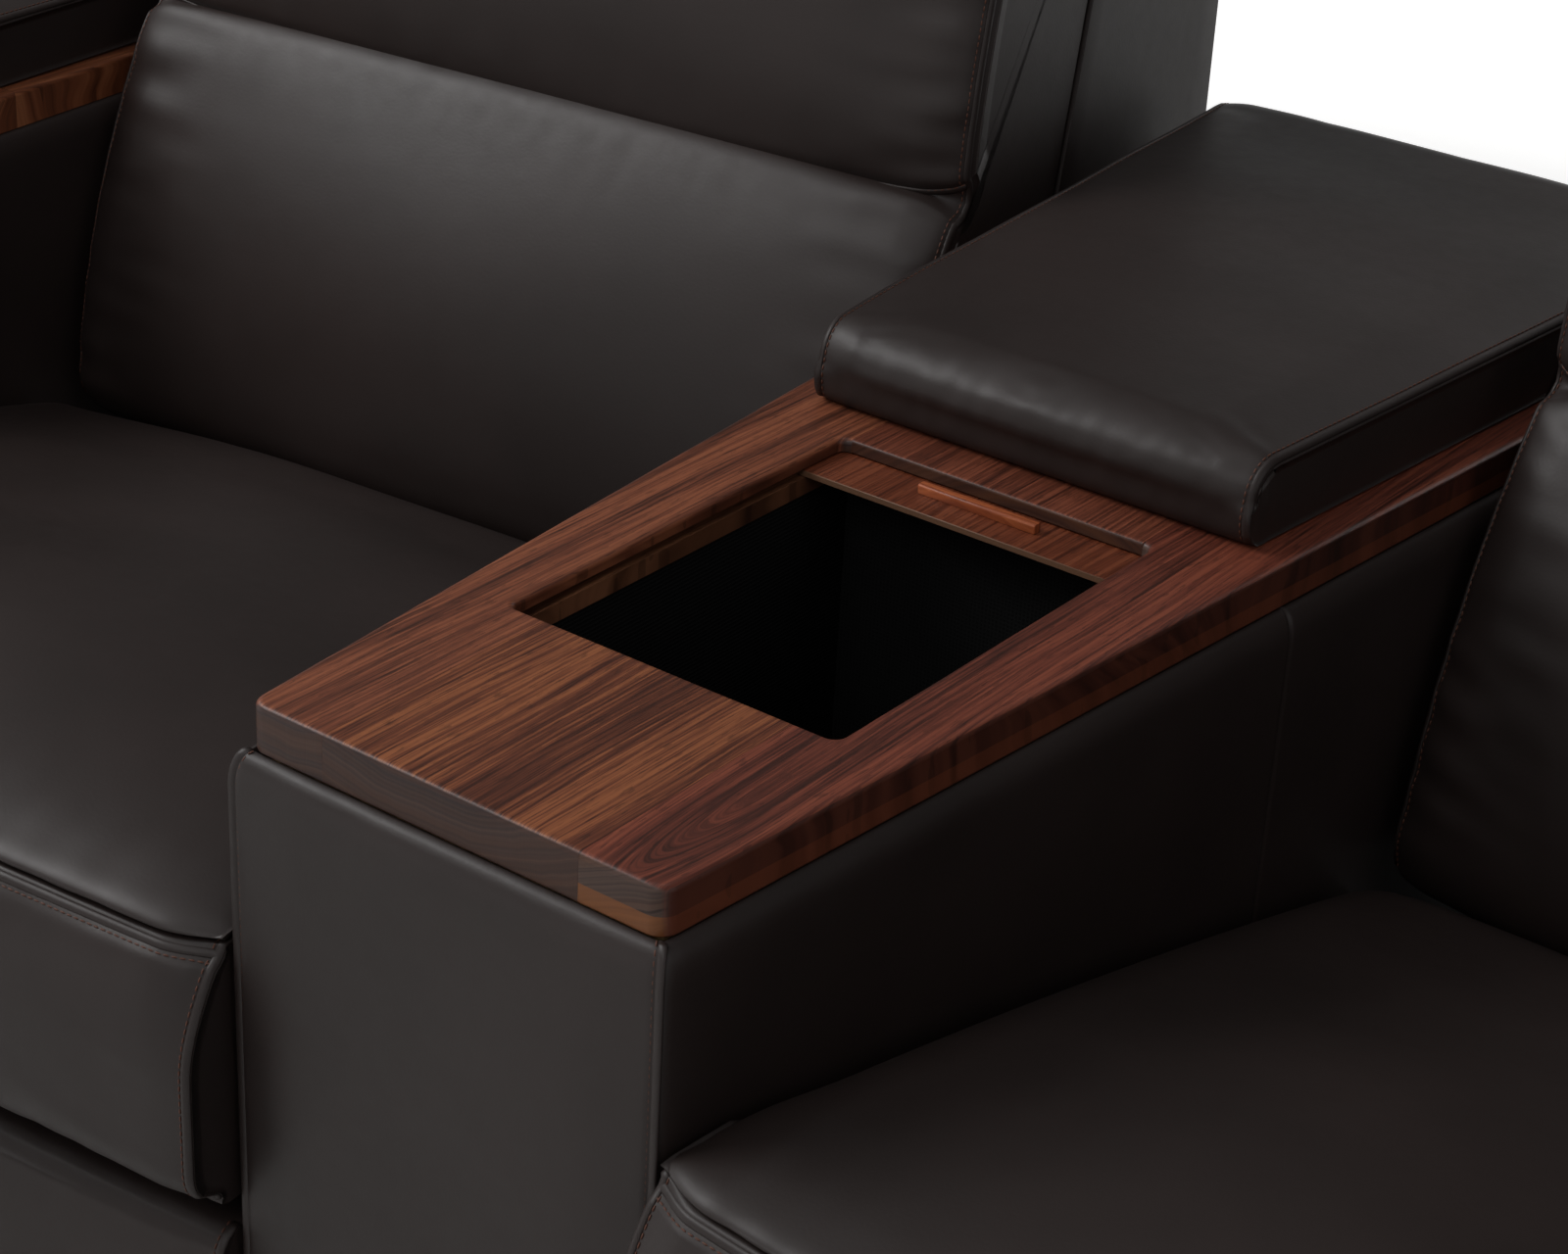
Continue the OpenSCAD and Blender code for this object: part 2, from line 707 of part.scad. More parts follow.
// The upper and lower pads on a leg-rest board, with a gap between them
module legrest_pads(side) {
    x0 = legrest_inset;
    x1 = seat_w - legrest_inset;
    color(leather) at_seat(side) {
        soft_form(front_outline(pad_split_z + pad_gap / 2, seam_z - rest_gap, 8, 5, upper_bulge),
            function(y) x0, function(y) x1, 1, 4, 7);
        soft_form(front_outline(pad_foot_z, pad_split_z - pad_gap / 2, 10, 14, lower_bulge),
            function(y) x0, function(y) x1, 1, 4, 7);
    }
}

module seat_frame(side) {
    x0 = seat_frame_x;
    x1 = x0 + seat_rail_t;
    y0 = seat_front;
    y1 = seat_back_y + 12;
    rail = function(a, b) [[a, deck_z(a) - seat_rail_h], [b, deck_z(b) - seat_rail_h],
                           [b, deck_z(b) - spring_t - glue], [a, deck_z(a) - spring_t - glue]];
    color(ply) at_seat(side) {
        yz_plate(rail(y0, y1), x0, x1);
        yz_plate(rail(y0, y1), seat_w - x1, seat_w - x0);
        yz_plate(rail(y0, y0 + seat_rail_t), x1 + glue, seat_w - x1 - glue);
        yz_plate(rail(y1 - seat_rail_t, y1), x1 + glue, seat_w - x1 - glue);
    }
}

// Sinuous springs across the seat frame
module seat_springs(side) {
    count = 5;
    turns = 18;
    wire = 4;
    reach = 36;
    x0 = seat_frame_x + seat_rail_t / 2;
    pitch = (seat_w - 2 * x0 - wire) / turns;
    first = seat_front + 62;
    step = (seat_back_y - seat_front - 110) / (count - 1);
    color(steel) at_seat(side) for (k = [0:count - 1]) let (y = first + k * step)
        translate([x0, y, deck_z(y) - spring_t]) rotate([-seat_tilt, 0, 0])
            linear_extrude(spring_t - rest_gap) union() {
                for (i = [0:turns]) translate([i * pitch, -reach / 2]) square([wire, reach]);
                for (i = [0:turns - 1]) translate([i * pitch, i % 2 == 0 ? reach / 2 - wire : -reach / 2])
                    square([pitch + wire, wire]);
            }
}

// The top of the seat at y, before its crown: it slopes more and more towards the back
function seat_top(y) = let (t = max(0, y - flat_y))
    seam_z + nose_h - t * tan(seat_tilt + 0.8) - seat_round * t * t;

module seat_cushion(side) {
    under = seam_z + 1;
    bottom = function(y) deck_z(y) + rest_gap;
    c = [hinge_y + nose_l, under];
    r = nose_l - 1;
    back_r = 24;
    y0 = seat_front;
    y1 = seat_back_y;
    rows = 9;
    weight = function(y) min(1, nose_weight + (1 - nose_weight) * (y - c.x) / (2 * nose_l));
    waist = function(y) side_gap + 4 * sin(180 * min(1, max(0, (y - y0) / (y1 - y0))));
    outline = concat(
        [[c.x - r, under, 0, 0, 0], [y0, under, 0, 0, 0], [y0, bottom(y0), 0, 0, 0],
         [(y0 + y1) / 2, bottom((y0 + y1) / 2), 0, 0, 0], [y1, bottom(y1), 0, 0, 0]],
        soft_arc([y1 - back_r, seat_top(y1) - back_r], back_r, 0, 90, 3, 0.4),
        [for (i = [0:rows]) let (y = y1 - 1.4 * back_r - (y1 - 1.4 * back_r - 1.1 * nose_l) * i / rows)
            [y, seat_top(y), 0, weight(y), 0]],
        [for (a = [90:15:165]) [c.x + r * cos(a), c.y + (nose_h - 1) * sin(a),
            0.25 * cos(a), nose_weight * sin(a), 0]]);
    color(leather) at_seat(side)
        soft_form(outline, waist, function(y) seat_w - waist(y), seat_crown, seat_shoulder, 8);
}

// Uprights with a hub on the pivot tube, and three cross rails that carry the outer shell
module back_frame(side) {
    front = function(z) seam_y(z) + rest_gap;
    z0 = back_bottom_z - 2;
    z1 = back_h - 40;
    x0 = 50;
    reach = side_gap + shell_t + glue;
    color(steel) at_seat(side) {
        translate([plate_x - 2, back_pivot_y, back_pivot_z]) rotate([0, 90, 0])
            cylinder(h = seat_w - 2 * plate_x + 4, d = tube_d, $fn = 96);
        both_ends() translate([x0, 0, 0]) rotate([90, 0, 90]) linear_extrude(upright_w) difference() {
            union() {
                translate([back_pivot_y, back_pivot_z]) circle(hub_r, $fn = 64);
                polygon([[back_pivot_y - 8, back_pivot_z + 17], [back_pivot_y + 19, back_pivot_z - 4],
                         [front(z0) + upright_d, z0], [front(z1) + upright_d, z1], [front(z1), z1],
                         [front(z0), z0]]);
            }
            translate([back_pivot_y, back_pivot_z]) circle(tube_d / 2 + run_gap, $fn = 96);
        }
        for (z = [z0 + 17, back_seam_z + 14, z1 - 35]) {
            rail = [[front(z), z], [front(z) + upright_d, z], [front(z + 35) + upright_d, z + 35],
                    [front(z + 35), z + 35]];
            yz_plate(rail, x0 + upright_w + glue, seat_w - x0 - upright_w - glue);
            both_ends() yz_plate(rail, reach, x0 - glue);
        }
    }
}

// Lower and head sections of the back cushion, parted by a sewn seam across its front
module back_cushion(side) {
    rear = function(z) seam_y(z) - rest_gap;
    n = [-cos(back_front_lean), sin(back_front_lean)];
    z0 = back_bottom_z;
    top = back_h + 4;
    mid = (z0 + top) / 2;
    r_low = 22;
    r_top = 36;
    lobe = function(z) z < back_seam_z ? sin(180 * (z - z0) / (back_seam_z - z0))
                                       : sin(180 * (z - back_seam_z) / (top - back_seam_z));
    near = 11;
    high = top - r_top - near;
    low = z0 + 2 * r_low;
    heights = concat([for (i = [0:7]) high - (high - back_seam_z - near) * i / 7], [back_seam_z],
        [for (i = [0:6]) back_seam_z - near - (back_seam_z - near - low) * i / 6]);
    outline = concat(
        [[back_front_y + r_low, z0, 0, 0, 0], [rear(z0), z0, 0, 0, 0], [rear(mid), mid, 0, 0, 0],
         [rear(top - 20), top - 20, 0, 0, 0]],
        [[rear(top) - 12, top, 0, 0.2, 0]],
        soft_arc([face_y(top - r_top) + r_top, top - r_top], r_top, 90, 150, 3, 0.5),
        [for (z = heights) let (dent = z == back_seam_z ? 8 : 0)
            [face_y(z) + dent, z, n.x, n.y, 24 * pow(abs(lobe(z)), 0.6)]],
        soft_arc([face_y(z0) + r_low, z0 + r_low], r_low, 180, 250, 3, 0.5));
    waist = function(y) side_gap + 2;
    color(leather) at_seat(side)
        soft_form(outline, waist, function(y) seat_w - waist(y), 8, 20, 7);
}

// Outer back: a rear and top panel bent over a rounded corner, and two side walls
module back_shell(side) {
    front = function(z) seam_y(z) + 1.5;
    top = back_h;
    c = [shell_rear - shell_r, top - shell_r];
    bend = function(r) arc(c, r, 0, 90, 8);
    wall = concat([[front(shell_z), shell_z], [shell_rear, shell_z]], bend(shell_r), [[front(top), top]]);
    panel = concat([[shell_rear - shell_t, shell_z], [shell_rear, shell_z]], bend(shell_r),
        [[front(top), top], [front(top), top - shell_t]], [for (i = [8:-1:0]) bend(shell_r - shell_t)[i]]);
    color(leather) at_seat(side) {
        both_ends() yz_plate(wall, side_gap, side_gap + shell_t);
        yz_plate(panel, side_gap + shell_t + glue, seat_w - side_gap - shell_t - glue);
    }
}

console_frame();
console_front_cover();
console_side_cover(-1);  // console_left_cover
console_side_cover(1);  // console_right_cover
console_back_cover();
top_rail(-1);  // top_left_rail
top_rail(1);  // top_right_rail
top_front_boards();
top_cross_rail();
top_rear_board();
lid_runners();
storage_bin();
storage_lid();
lid_pull();
console_pad();
console_pad_board();
feet();
arm_frame(-1);  // left_arm_frame
arm_frame(1);  // right_arm_frame
arm_cover(-1);  // left_arm_cover
arm_cover(1);  // right_arm_cover
arm_top(-1);  // left_arm_top
arm_top(1);  // right_arm_top
arm_top_rear(-1);  // left_arm_top_rear
arm_top_rear(1);  // right_arm_top_rear
arm_pad(-1);  // left_arm_pad
arm_pad(1);  // right_arm_pad
switch_plate(-1);  // left_switch_plate
switch_plate(1);  // right_switch_plate
button(-1, switch_y[0]);  // left_back_button
button(1, switch_y[0]);  // right_back_button
button(-1, switch_y[1]);  // left_legrest_button
button(1, switch_y[1]);  // right_legrest_button
base_frame(-1);  // left_base_frame
base_frame(1);  // right_base_frame
seat_frame(-1);  // left_seat_frame
seat_frame(1);  // right_seat_frame
seat_springs(-1);  // left_seat_springs
seat_springs(1);  // right_seat_springs
seat_cushion(-1);  // left_seat_cushion
seat_cushion(1);  // right_seat_cushion
back_frame(-1);  // left_back_frame
back_frame(1);  // right_back_frame
back_cushion(-1);  // left_back_cushion
back_cushion(1);  // right_back_cushion
back_shell(-1);  // left_back_shell
back_shell(1);  // right_back_shell
legrest_board(-1);  // left_legrest_board
legrest_board(1);  // right_legrest_board
legrest_pads(-1);  // left_legrest_pads
legrest_pads(1);  // right_legrest_pads
legrest_brackets(-1);  // left_legrest_brackets
legrest_brackets(1);  // right_legrest_brackets
drive_tube(-1);  // left_drive_tube
drive_tube(1);  // right_drive_tube
drive_links(-1);  // left_drive_links
drive_links(1);  // right_drive_links
motors(-1);  // left_motors
motors(1);  // right_motors
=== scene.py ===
"""A leather reclining row with a walnut-topped wedge console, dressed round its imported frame.

Metres, +Z up, the seats face -Y. The console is laid out in (x, y, z) with y counted from the walnut's front
edge. A seat is laid out in (u, v, z): u from the console's side to the end arm, v from front to back. The
outlines of the padded pieces are written in millimetres.
"""
import math

import bmesh
import bpy
import numpy as np
from mathutils import Matrix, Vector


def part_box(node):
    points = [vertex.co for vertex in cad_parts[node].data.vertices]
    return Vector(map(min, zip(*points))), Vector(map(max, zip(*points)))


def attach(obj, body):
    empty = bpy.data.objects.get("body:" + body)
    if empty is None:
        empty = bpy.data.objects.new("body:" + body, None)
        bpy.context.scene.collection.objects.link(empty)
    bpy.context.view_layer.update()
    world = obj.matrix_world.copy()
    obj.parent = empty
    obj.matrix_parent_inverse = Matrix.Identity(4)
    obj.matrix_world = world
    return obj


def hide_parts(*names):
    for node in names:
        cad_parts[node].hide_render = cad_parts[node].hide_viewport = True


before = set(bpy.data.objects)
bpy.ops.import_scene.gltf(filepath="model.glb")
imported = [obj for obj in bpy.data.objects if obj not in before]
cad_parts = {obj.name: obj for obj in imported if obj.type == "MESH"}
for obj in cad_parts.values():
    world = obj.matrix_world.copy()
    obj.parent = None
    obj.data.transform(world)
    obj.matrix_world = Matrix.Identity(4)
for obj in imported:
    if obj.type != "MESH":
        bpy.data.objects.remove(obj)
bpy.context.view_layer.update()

SIDES = {"right": 1, "left": -1}
MM = 0.001

# Driving sizes of the row
TOP_W = 0.240
WEDGE = math.radians(4.75)
PANEL_OUT = 0.008
SEAT_W = 0.655
FRAME_SLOPE = math.tan(math.radians(11.0))

board_low, board_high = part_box("top_front_boards")
ROW_Y = board_low.y
SLAB_Z = board_low.z
ARM_H = board_high.z
CONSOLE_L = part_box("top_rear_board")[1].y - ROW_Y
FOOT_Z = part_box("console_frame")[0].z
OPENING_Y = board_high.y - ROW_Y
OPENING_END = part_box("top_cross_rail")[0].y - ROW_Y
CROSS_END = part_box("top_cross_rail")[1].y - ROW_Y
OPENING_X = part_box("top_cross_rail")[1].x + 0.0062
OPENING_R = 0.006
LIP_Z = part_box("top_cross_rail")[0].z
GROOVE_X = OPENING_X + 0.0105
GROOVE_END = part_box("lid_runners")[1].y - ROW_Y + 0.0002
RAIL_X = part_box("top_front_boards")[1].x + 0.0002


# Places

def in_row(points):
    """Console points (x, y, z) moved into the row's frame."""
    return np.asarray(points, float) + np.array([0.0, ROW_Y, 0.0])


def in_seat(points, side):
    """Seat points (u, v, z) turned by the wedge angle and set beside the console, mirrored for the left."""
    q = np.asarray(points, float)
    c, s = math.cos(WEDGE), math.sin(WEDGE)
    reach = PANEL_OUT + q[..., 0]
    x = TOP_W / 2 + c * reach + s * q[..., 1]
    y = ROW_Y - s * reach + c * q[..., 1]
    return np.stack([side * x, y, q[..., 2]], -1)


def half_w(y, d=0.0):
    """Half width of the console at y, d outside the walnut's edge."""
    return TOP_W / 2 + y * math.tan(WEDGE) + d / math.cos(WEDGE)


def seats():
    """For either side its word, its way to place seat points, and whether that mirrors them."""
    return [(word, lambda q, side=side: in_seat(q, side), side < 0) for word, side in SIDES.items()]


def from_side(points, inset):
    """Distance of seat points from the nearer side of a piece that is set in from both sides of the seat."""
    return np.minimum(points[:, 0] - inset, SEAT_W - inset - points[:, 0])


# Outlines

def arc(cx, cy, r, a0, a1, n=9):
    """n points on a circle about (cx, cy) from angle a0 to a1 in degrees."""
    t = np.radians(np.linspace(a0, a1, n))
    return np.stack([cx + r * np.cos(t), cy + r * np.sin(t)], -1)


def chain(*parts):
    """Points and runs of points joined into one run, without repeated ones."""
    run = np.concatenate([np.atleast_2d(np.asarray(p, float)) for p in parts])
    keep = np.r_[True, np.linalg.norm(np.diff(run, axis=0), axis=1) > 1e-6]
    return run[keep]


def resample(run, n, dense=(), width=0.012, gain=5.0):
    """n points along a run, evenly by length, but closer together around each place in dense."""
    step = np.linalg.norm(np.diff(run, axis=0), axis=1)
    length = np.r_[0.0, np.cumsum(step)]
    fine = np.linspace(0.0, length[-1], 4000)
    at = np.stack([np.interp(fine, length, run[:, k]) for k in range(run.shape[1])], -1)
    weight = np.ones_like(fine)
    for place in dense:
        gap = np.linalg.norm(at - np.asarray(place, float), axis=1)
        weight = weight + gain * np.exp(-((gap / width) ** 2))
    total = np.r_[0.0, np.cumsum((weight[1:] + weight[:-1]) / 2)]
    place = np.interp(np.linspace(0.0, total[-1], n), total, fine)
    return np.stack([np.interp(place, length, run[:, k]) for k in range(run.shape[1])], -1)


def outward(ring):
    """Unit normals of a closed outline that runs counter-clockwise, pointing out of it."""
    t = np.roll(ring, -1, axis=0) - np.roll(ring, 1, axis=0)
    n = np.stack([t[:, 1], -t[:, 0]], -1)
    return n / np.maximum(np.linalg.norm(n, axis=1, keepdims=True), 1e-9)


def smooth_step(x):
    """0 below 0 and 1 above 1, with a smooth rise between."""
    t = np.clip(x, 0.0, 1.0)
    return t * t * (3 - 2 * t)


def blurred(values, k):
    """Values round a closed outline, each the mean of itself and its k neighbours to either side."""
    wide = 2 * k + 1
    return np.convolve(np.r_[values[-k:], values, values[:k]], np.ones(wide) / wide, "same")[k:-k]


# Meshes

def bare_object(name, points, faces):
    """An object in the scene, from points and lists of corners."""
    mesh = bpy.data.meshes.new(name)
    points = np.asarray(points, float).reshape(-1, 3).tolist()
    mesh.from_pydata(points, [], [list(map(int, f)) for f in faces])
    mesh.update()
    item = bpy.data.objects.new(name, mesh)
    bpy.context.scene.collection.objects.link(item)
    return item


def make_piece(name, points, faces, body, material, replaced=(), turned=False):
    """A smooth piece riding on its body. turned turns its faces round, for points that were mirrored."""
    piece = bare_object(name, points, [f[::-1] for f in faces] if turned else faces)
    piece.data.polygons.foreach_set("use_smooth", np.full(len(piece.data.polygons), True))
    piece.data.materials.append(material)
    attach(piece, body)
    if replaced:
        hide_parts(*replaced)
    return piece


def quads(ids, turned=False):
    """Four-cornered faces between the neighbours of a two-way table of point numbers."""
    q = np.stack([ids[:-1, :-1], ids[1:, :-1], ids[1:, 1:], ids[:-1, 1:]], -1).reshape(-1, 4)
    return q[:, ::-1] if turned else q


def outside_out(points, faces):
    """The faces of a closed mesh, turned round if the volume that they enclose is negative."""
    tris = np.array([(f[0], f[i], f[i + 1]) for f in faces for i in range(1, len(f) - 1)])
    p = (points - points.mean(0))[tris]
    volume = np.einsum("ij,ij->i", p[:, 0], np.cross(p[:, 1], p[:, 2])).sum()
    return [f[::-1] for f in faces] if volume < 0 else faces


def tube(rings, looped=False):
    """Points and faces of a tube through rings of points, its ends capped, or joined if it is looped."""
    ids = np.arange(rings.shape[0] * rings.shape[1]).reshape(rings.shape[:2])
    table = np.concatenate([ids, ids[:, :1]], 1)
    if looped:
        faces = quads(np.concatenate([table, table[:1]])).tolist()
    else:
        faces = quads(table).tolist() + [ids[0].tolist(), ids[-1, ::-1].tolist()]
    points = rings.reshape(-1, 3)
    return points, outside_out(points, faces)


def join(parts):
    """Several sets of points and faces as one."""
    verts, faces, start = [], [], 0
    for v, f in parts:
        verts.append(v)
        faces += [[int(i) + start for i in q] for q in f]
        start += len(v)
    return np.concatenate(verts), faces


def unit(vectors):
    """Vectors, one to a row, of length 1."""
    return vectors / np.maximum(np.linalg.norm(vectors, axis=1, keepdims=True), 1e-9)


def stitch_row(path, normals, pitch=0.0042, length=0.0031, radius=0.0005, lift=0.0002):
    """Stitches as slim six-sided spindles laid end to end along a path, each turned to its direction."""
    along = np.r_[0.0, np.cumsum(np.linalg.norm(np.diff(path, axis=0), axis=1))]
    count = max(int(along[-1] / pitch), 1)
    at = (np.arange(count) + 0.5) * along[-1] / count
    pick = lambda q, d=0.0: np.stack([np.interp(at + d, along, q[:, k]) for k in range(3)], -1)
    centre = pick(path) + lift * pick(normals)
    t = unit(pick(path, length / 2) - pick(path, -length / 2))
    b = unit(np.cross(t, pick(normals)))
    n = np.cross(b, t)
    steps = np.array([-1.0, -0.7, 0.0, 0.7, 1.0])
    girth = np.array([0.15, 0.8, 1.0, 0.8, 0.15])
    a = np.linspace(0, 2 * math.pi, 6, endpoint=False)
    local = np.stack([np.repeat(steps * length / 2, 6), np.outer(girth, np.cos(a)).ravel() * radius,
                      np.outer(girth, np.sin(a)).ravel() * radius], -1)
    points = (centre[:, None] + local[None, :, :1] * t[:, None] + local[None, :, 1:2] * n[:, None]
              + local[None, :, 2:] * b[:, None])
    ids = np.arange(30).reshape(5, 6)
    start = 30 * np.arange(count)[:, None]
    walls = quads(np.concatenate([ids, ids[:, :1]], 1), True)
    faces = (walls[None] + start[:, None]).reshape(-1, 4).tolist()
    for cap in (ids[0], ids[-1][::-1]):
        faces += (cap[None] + start).tolist()
    return points.reshape(-1, 3), faces


def welt(path, normal, across, half=0.0026, rise=0.0013):
    """A folded seam allowance: a flat oval tube along a path, half wide to each side and rise high."""
    t = np.linspace(0, 2 * math.pi, 10, endpoint=False)
    return tube(path[:, None] + half * np.cos(t)[None, :, None] * across[:, None]
                + rise * np.sin(t)[None, :, None] * normal[:, None])


# Materials

def linear(code):
    """An sRGB hex colour as linear red, green, blue and alpha."""
    c = np.array([int(code[i:i + 2], 16) for i in (1, 3, 5)]) / 255
    lin = np.where(c <= 0.04045, c / 12.92, ((c + 0.055) / 1.055) ** 2.4)
    return (*lin.tolist(), 1.0)


class Nodes:
    """The nodes of a new material, or of the world, and one way to add a node."""

    def __init__(self, name, world=None):
        self.owner = world or bpy.data.materials.new(name)
        self.owner.use_nodes = True
        self.tree = self.owner.node_tree
        self.shader = self.tree.nodes["Background" if world else "Principled BSDF"]
        self.place = self.add("TexCoord").outputs["Generated" if world else "Object"]

    def add(self, kind, links=(), stops=(), **settings):
        """Adds a node with its settings, the stops of its ramp and its links."""
        node = self.tree.nodes.new("ShaderNode" + kind)
        for key, value in settings.items():
            setattr(node, key, value)
        if stops:
            elements = node.color_ramp.elements
            while len(elements) < len(stops):
                elements.new(0.5)
            for element, (place, colour) in zip(elements, stops):
                element.position, element.color = place, linear(colour)
        return self.wire(node, links)

    def wire(self, node, links):
        """Fills inputs, in order or by name, with values, hex colours, outputs, or nodes, each of which stands
        for its first output in use."""
        if not isinstance(links, dict):
            links = dict(zip([i for i, socket in enumerate(node.inputs) if socket.enabled], links))
        for key, value in links.items():
            if isinstance(value, bpy.types.Node):
                value = next(socket for socket in value.outputs if socket.enabled)
            if isinstance(value, bpy.types.NodeSocket):
                self.tree.links.new(value, node.inputs[key])
            else:
                node.inputs[key].default_value = linear(value) if isinstance(value, str) else value
        return node

    def finish(self, links):
        """Fills the shader's inputs and gives the material."""
        self.wire(self.shader, links)
        return self.owner


def leather():
    """Full-grain cowhide, drum dyed espresso and lightly pigmented: fine pebble, soft sheen, faint clouds."""
    m = Nodes("full_grain_cowhide")
    cloud = m.add("TexNoise", [m.place, 1 / 0.16, 3.0, 0.5])
    colour = m.add("ValToRGB", [cloud], [(0.35, "#241c1a"), (0.68, "#2c2321")])
    # Pebbles of the hide are about 0.8 mm across; 1.6 mm is the finest that shows here
    pebble = m.add("TexVoronoi", [m.place, 1 / 0.0016], feature="SMOOTH_F1")
    soft = m.add("TexNoise", [m.place, 1 / 0.060, 2.0, 0.45])
    fine = m.add("TexNoise", [m.place, 1 / 0.010, 3.0])
    bump = m.add("Bump", {"Height": soft, "Distance": 0.004, "Strength": 0.10})
    bump = m.add("Bump", {"Height": pebble, "Distance": 0.00016, "Strength": 0.22, "Normal": bump},
                 invert=True)
    rough = m.add("Math", [fine, 0.10, 0.42], operation="MULTIPLY_ADD")
    return m.finish({"Base Color": colour, "Roughness": rough, "Normal": bump, "IOR": 1.46,
                     "Specular IOR Level": 0.44})


def lining():
    """Black polyester lining of the bin, woven: threads 1 mm apart, drawn at 2.4 mm so that they show."""
    m = Nodes("woven_polyester_lining")
    pace = 1 / 0.0024 / 6.283 * 2
    warp, weft = (m.add("TexWave", [m.place, pace], bands_direction=way).outputs["Fac"] for way in "XZ")
    weave = m.add("Math", [warp, weft], operation="MAXIMUM")
    bump = m.add("Bump", {"Height": weave, "Distance": 0.0004, "Strength": 0.5})
    colour = m.add("ValToRGB", [weave], [(0.2, "#080808"), (0.9, "#161616")])
    return m.finish({"Base Color": colour, "Roughness": 0.95, "Normal": bump, "Specular IOR Level": 0.15})


RAIL_TONES = ("#391e17", "#643526", "#804733")
STRIPE_TONES = ("#3c1f16", "#643624", "#8f5636")


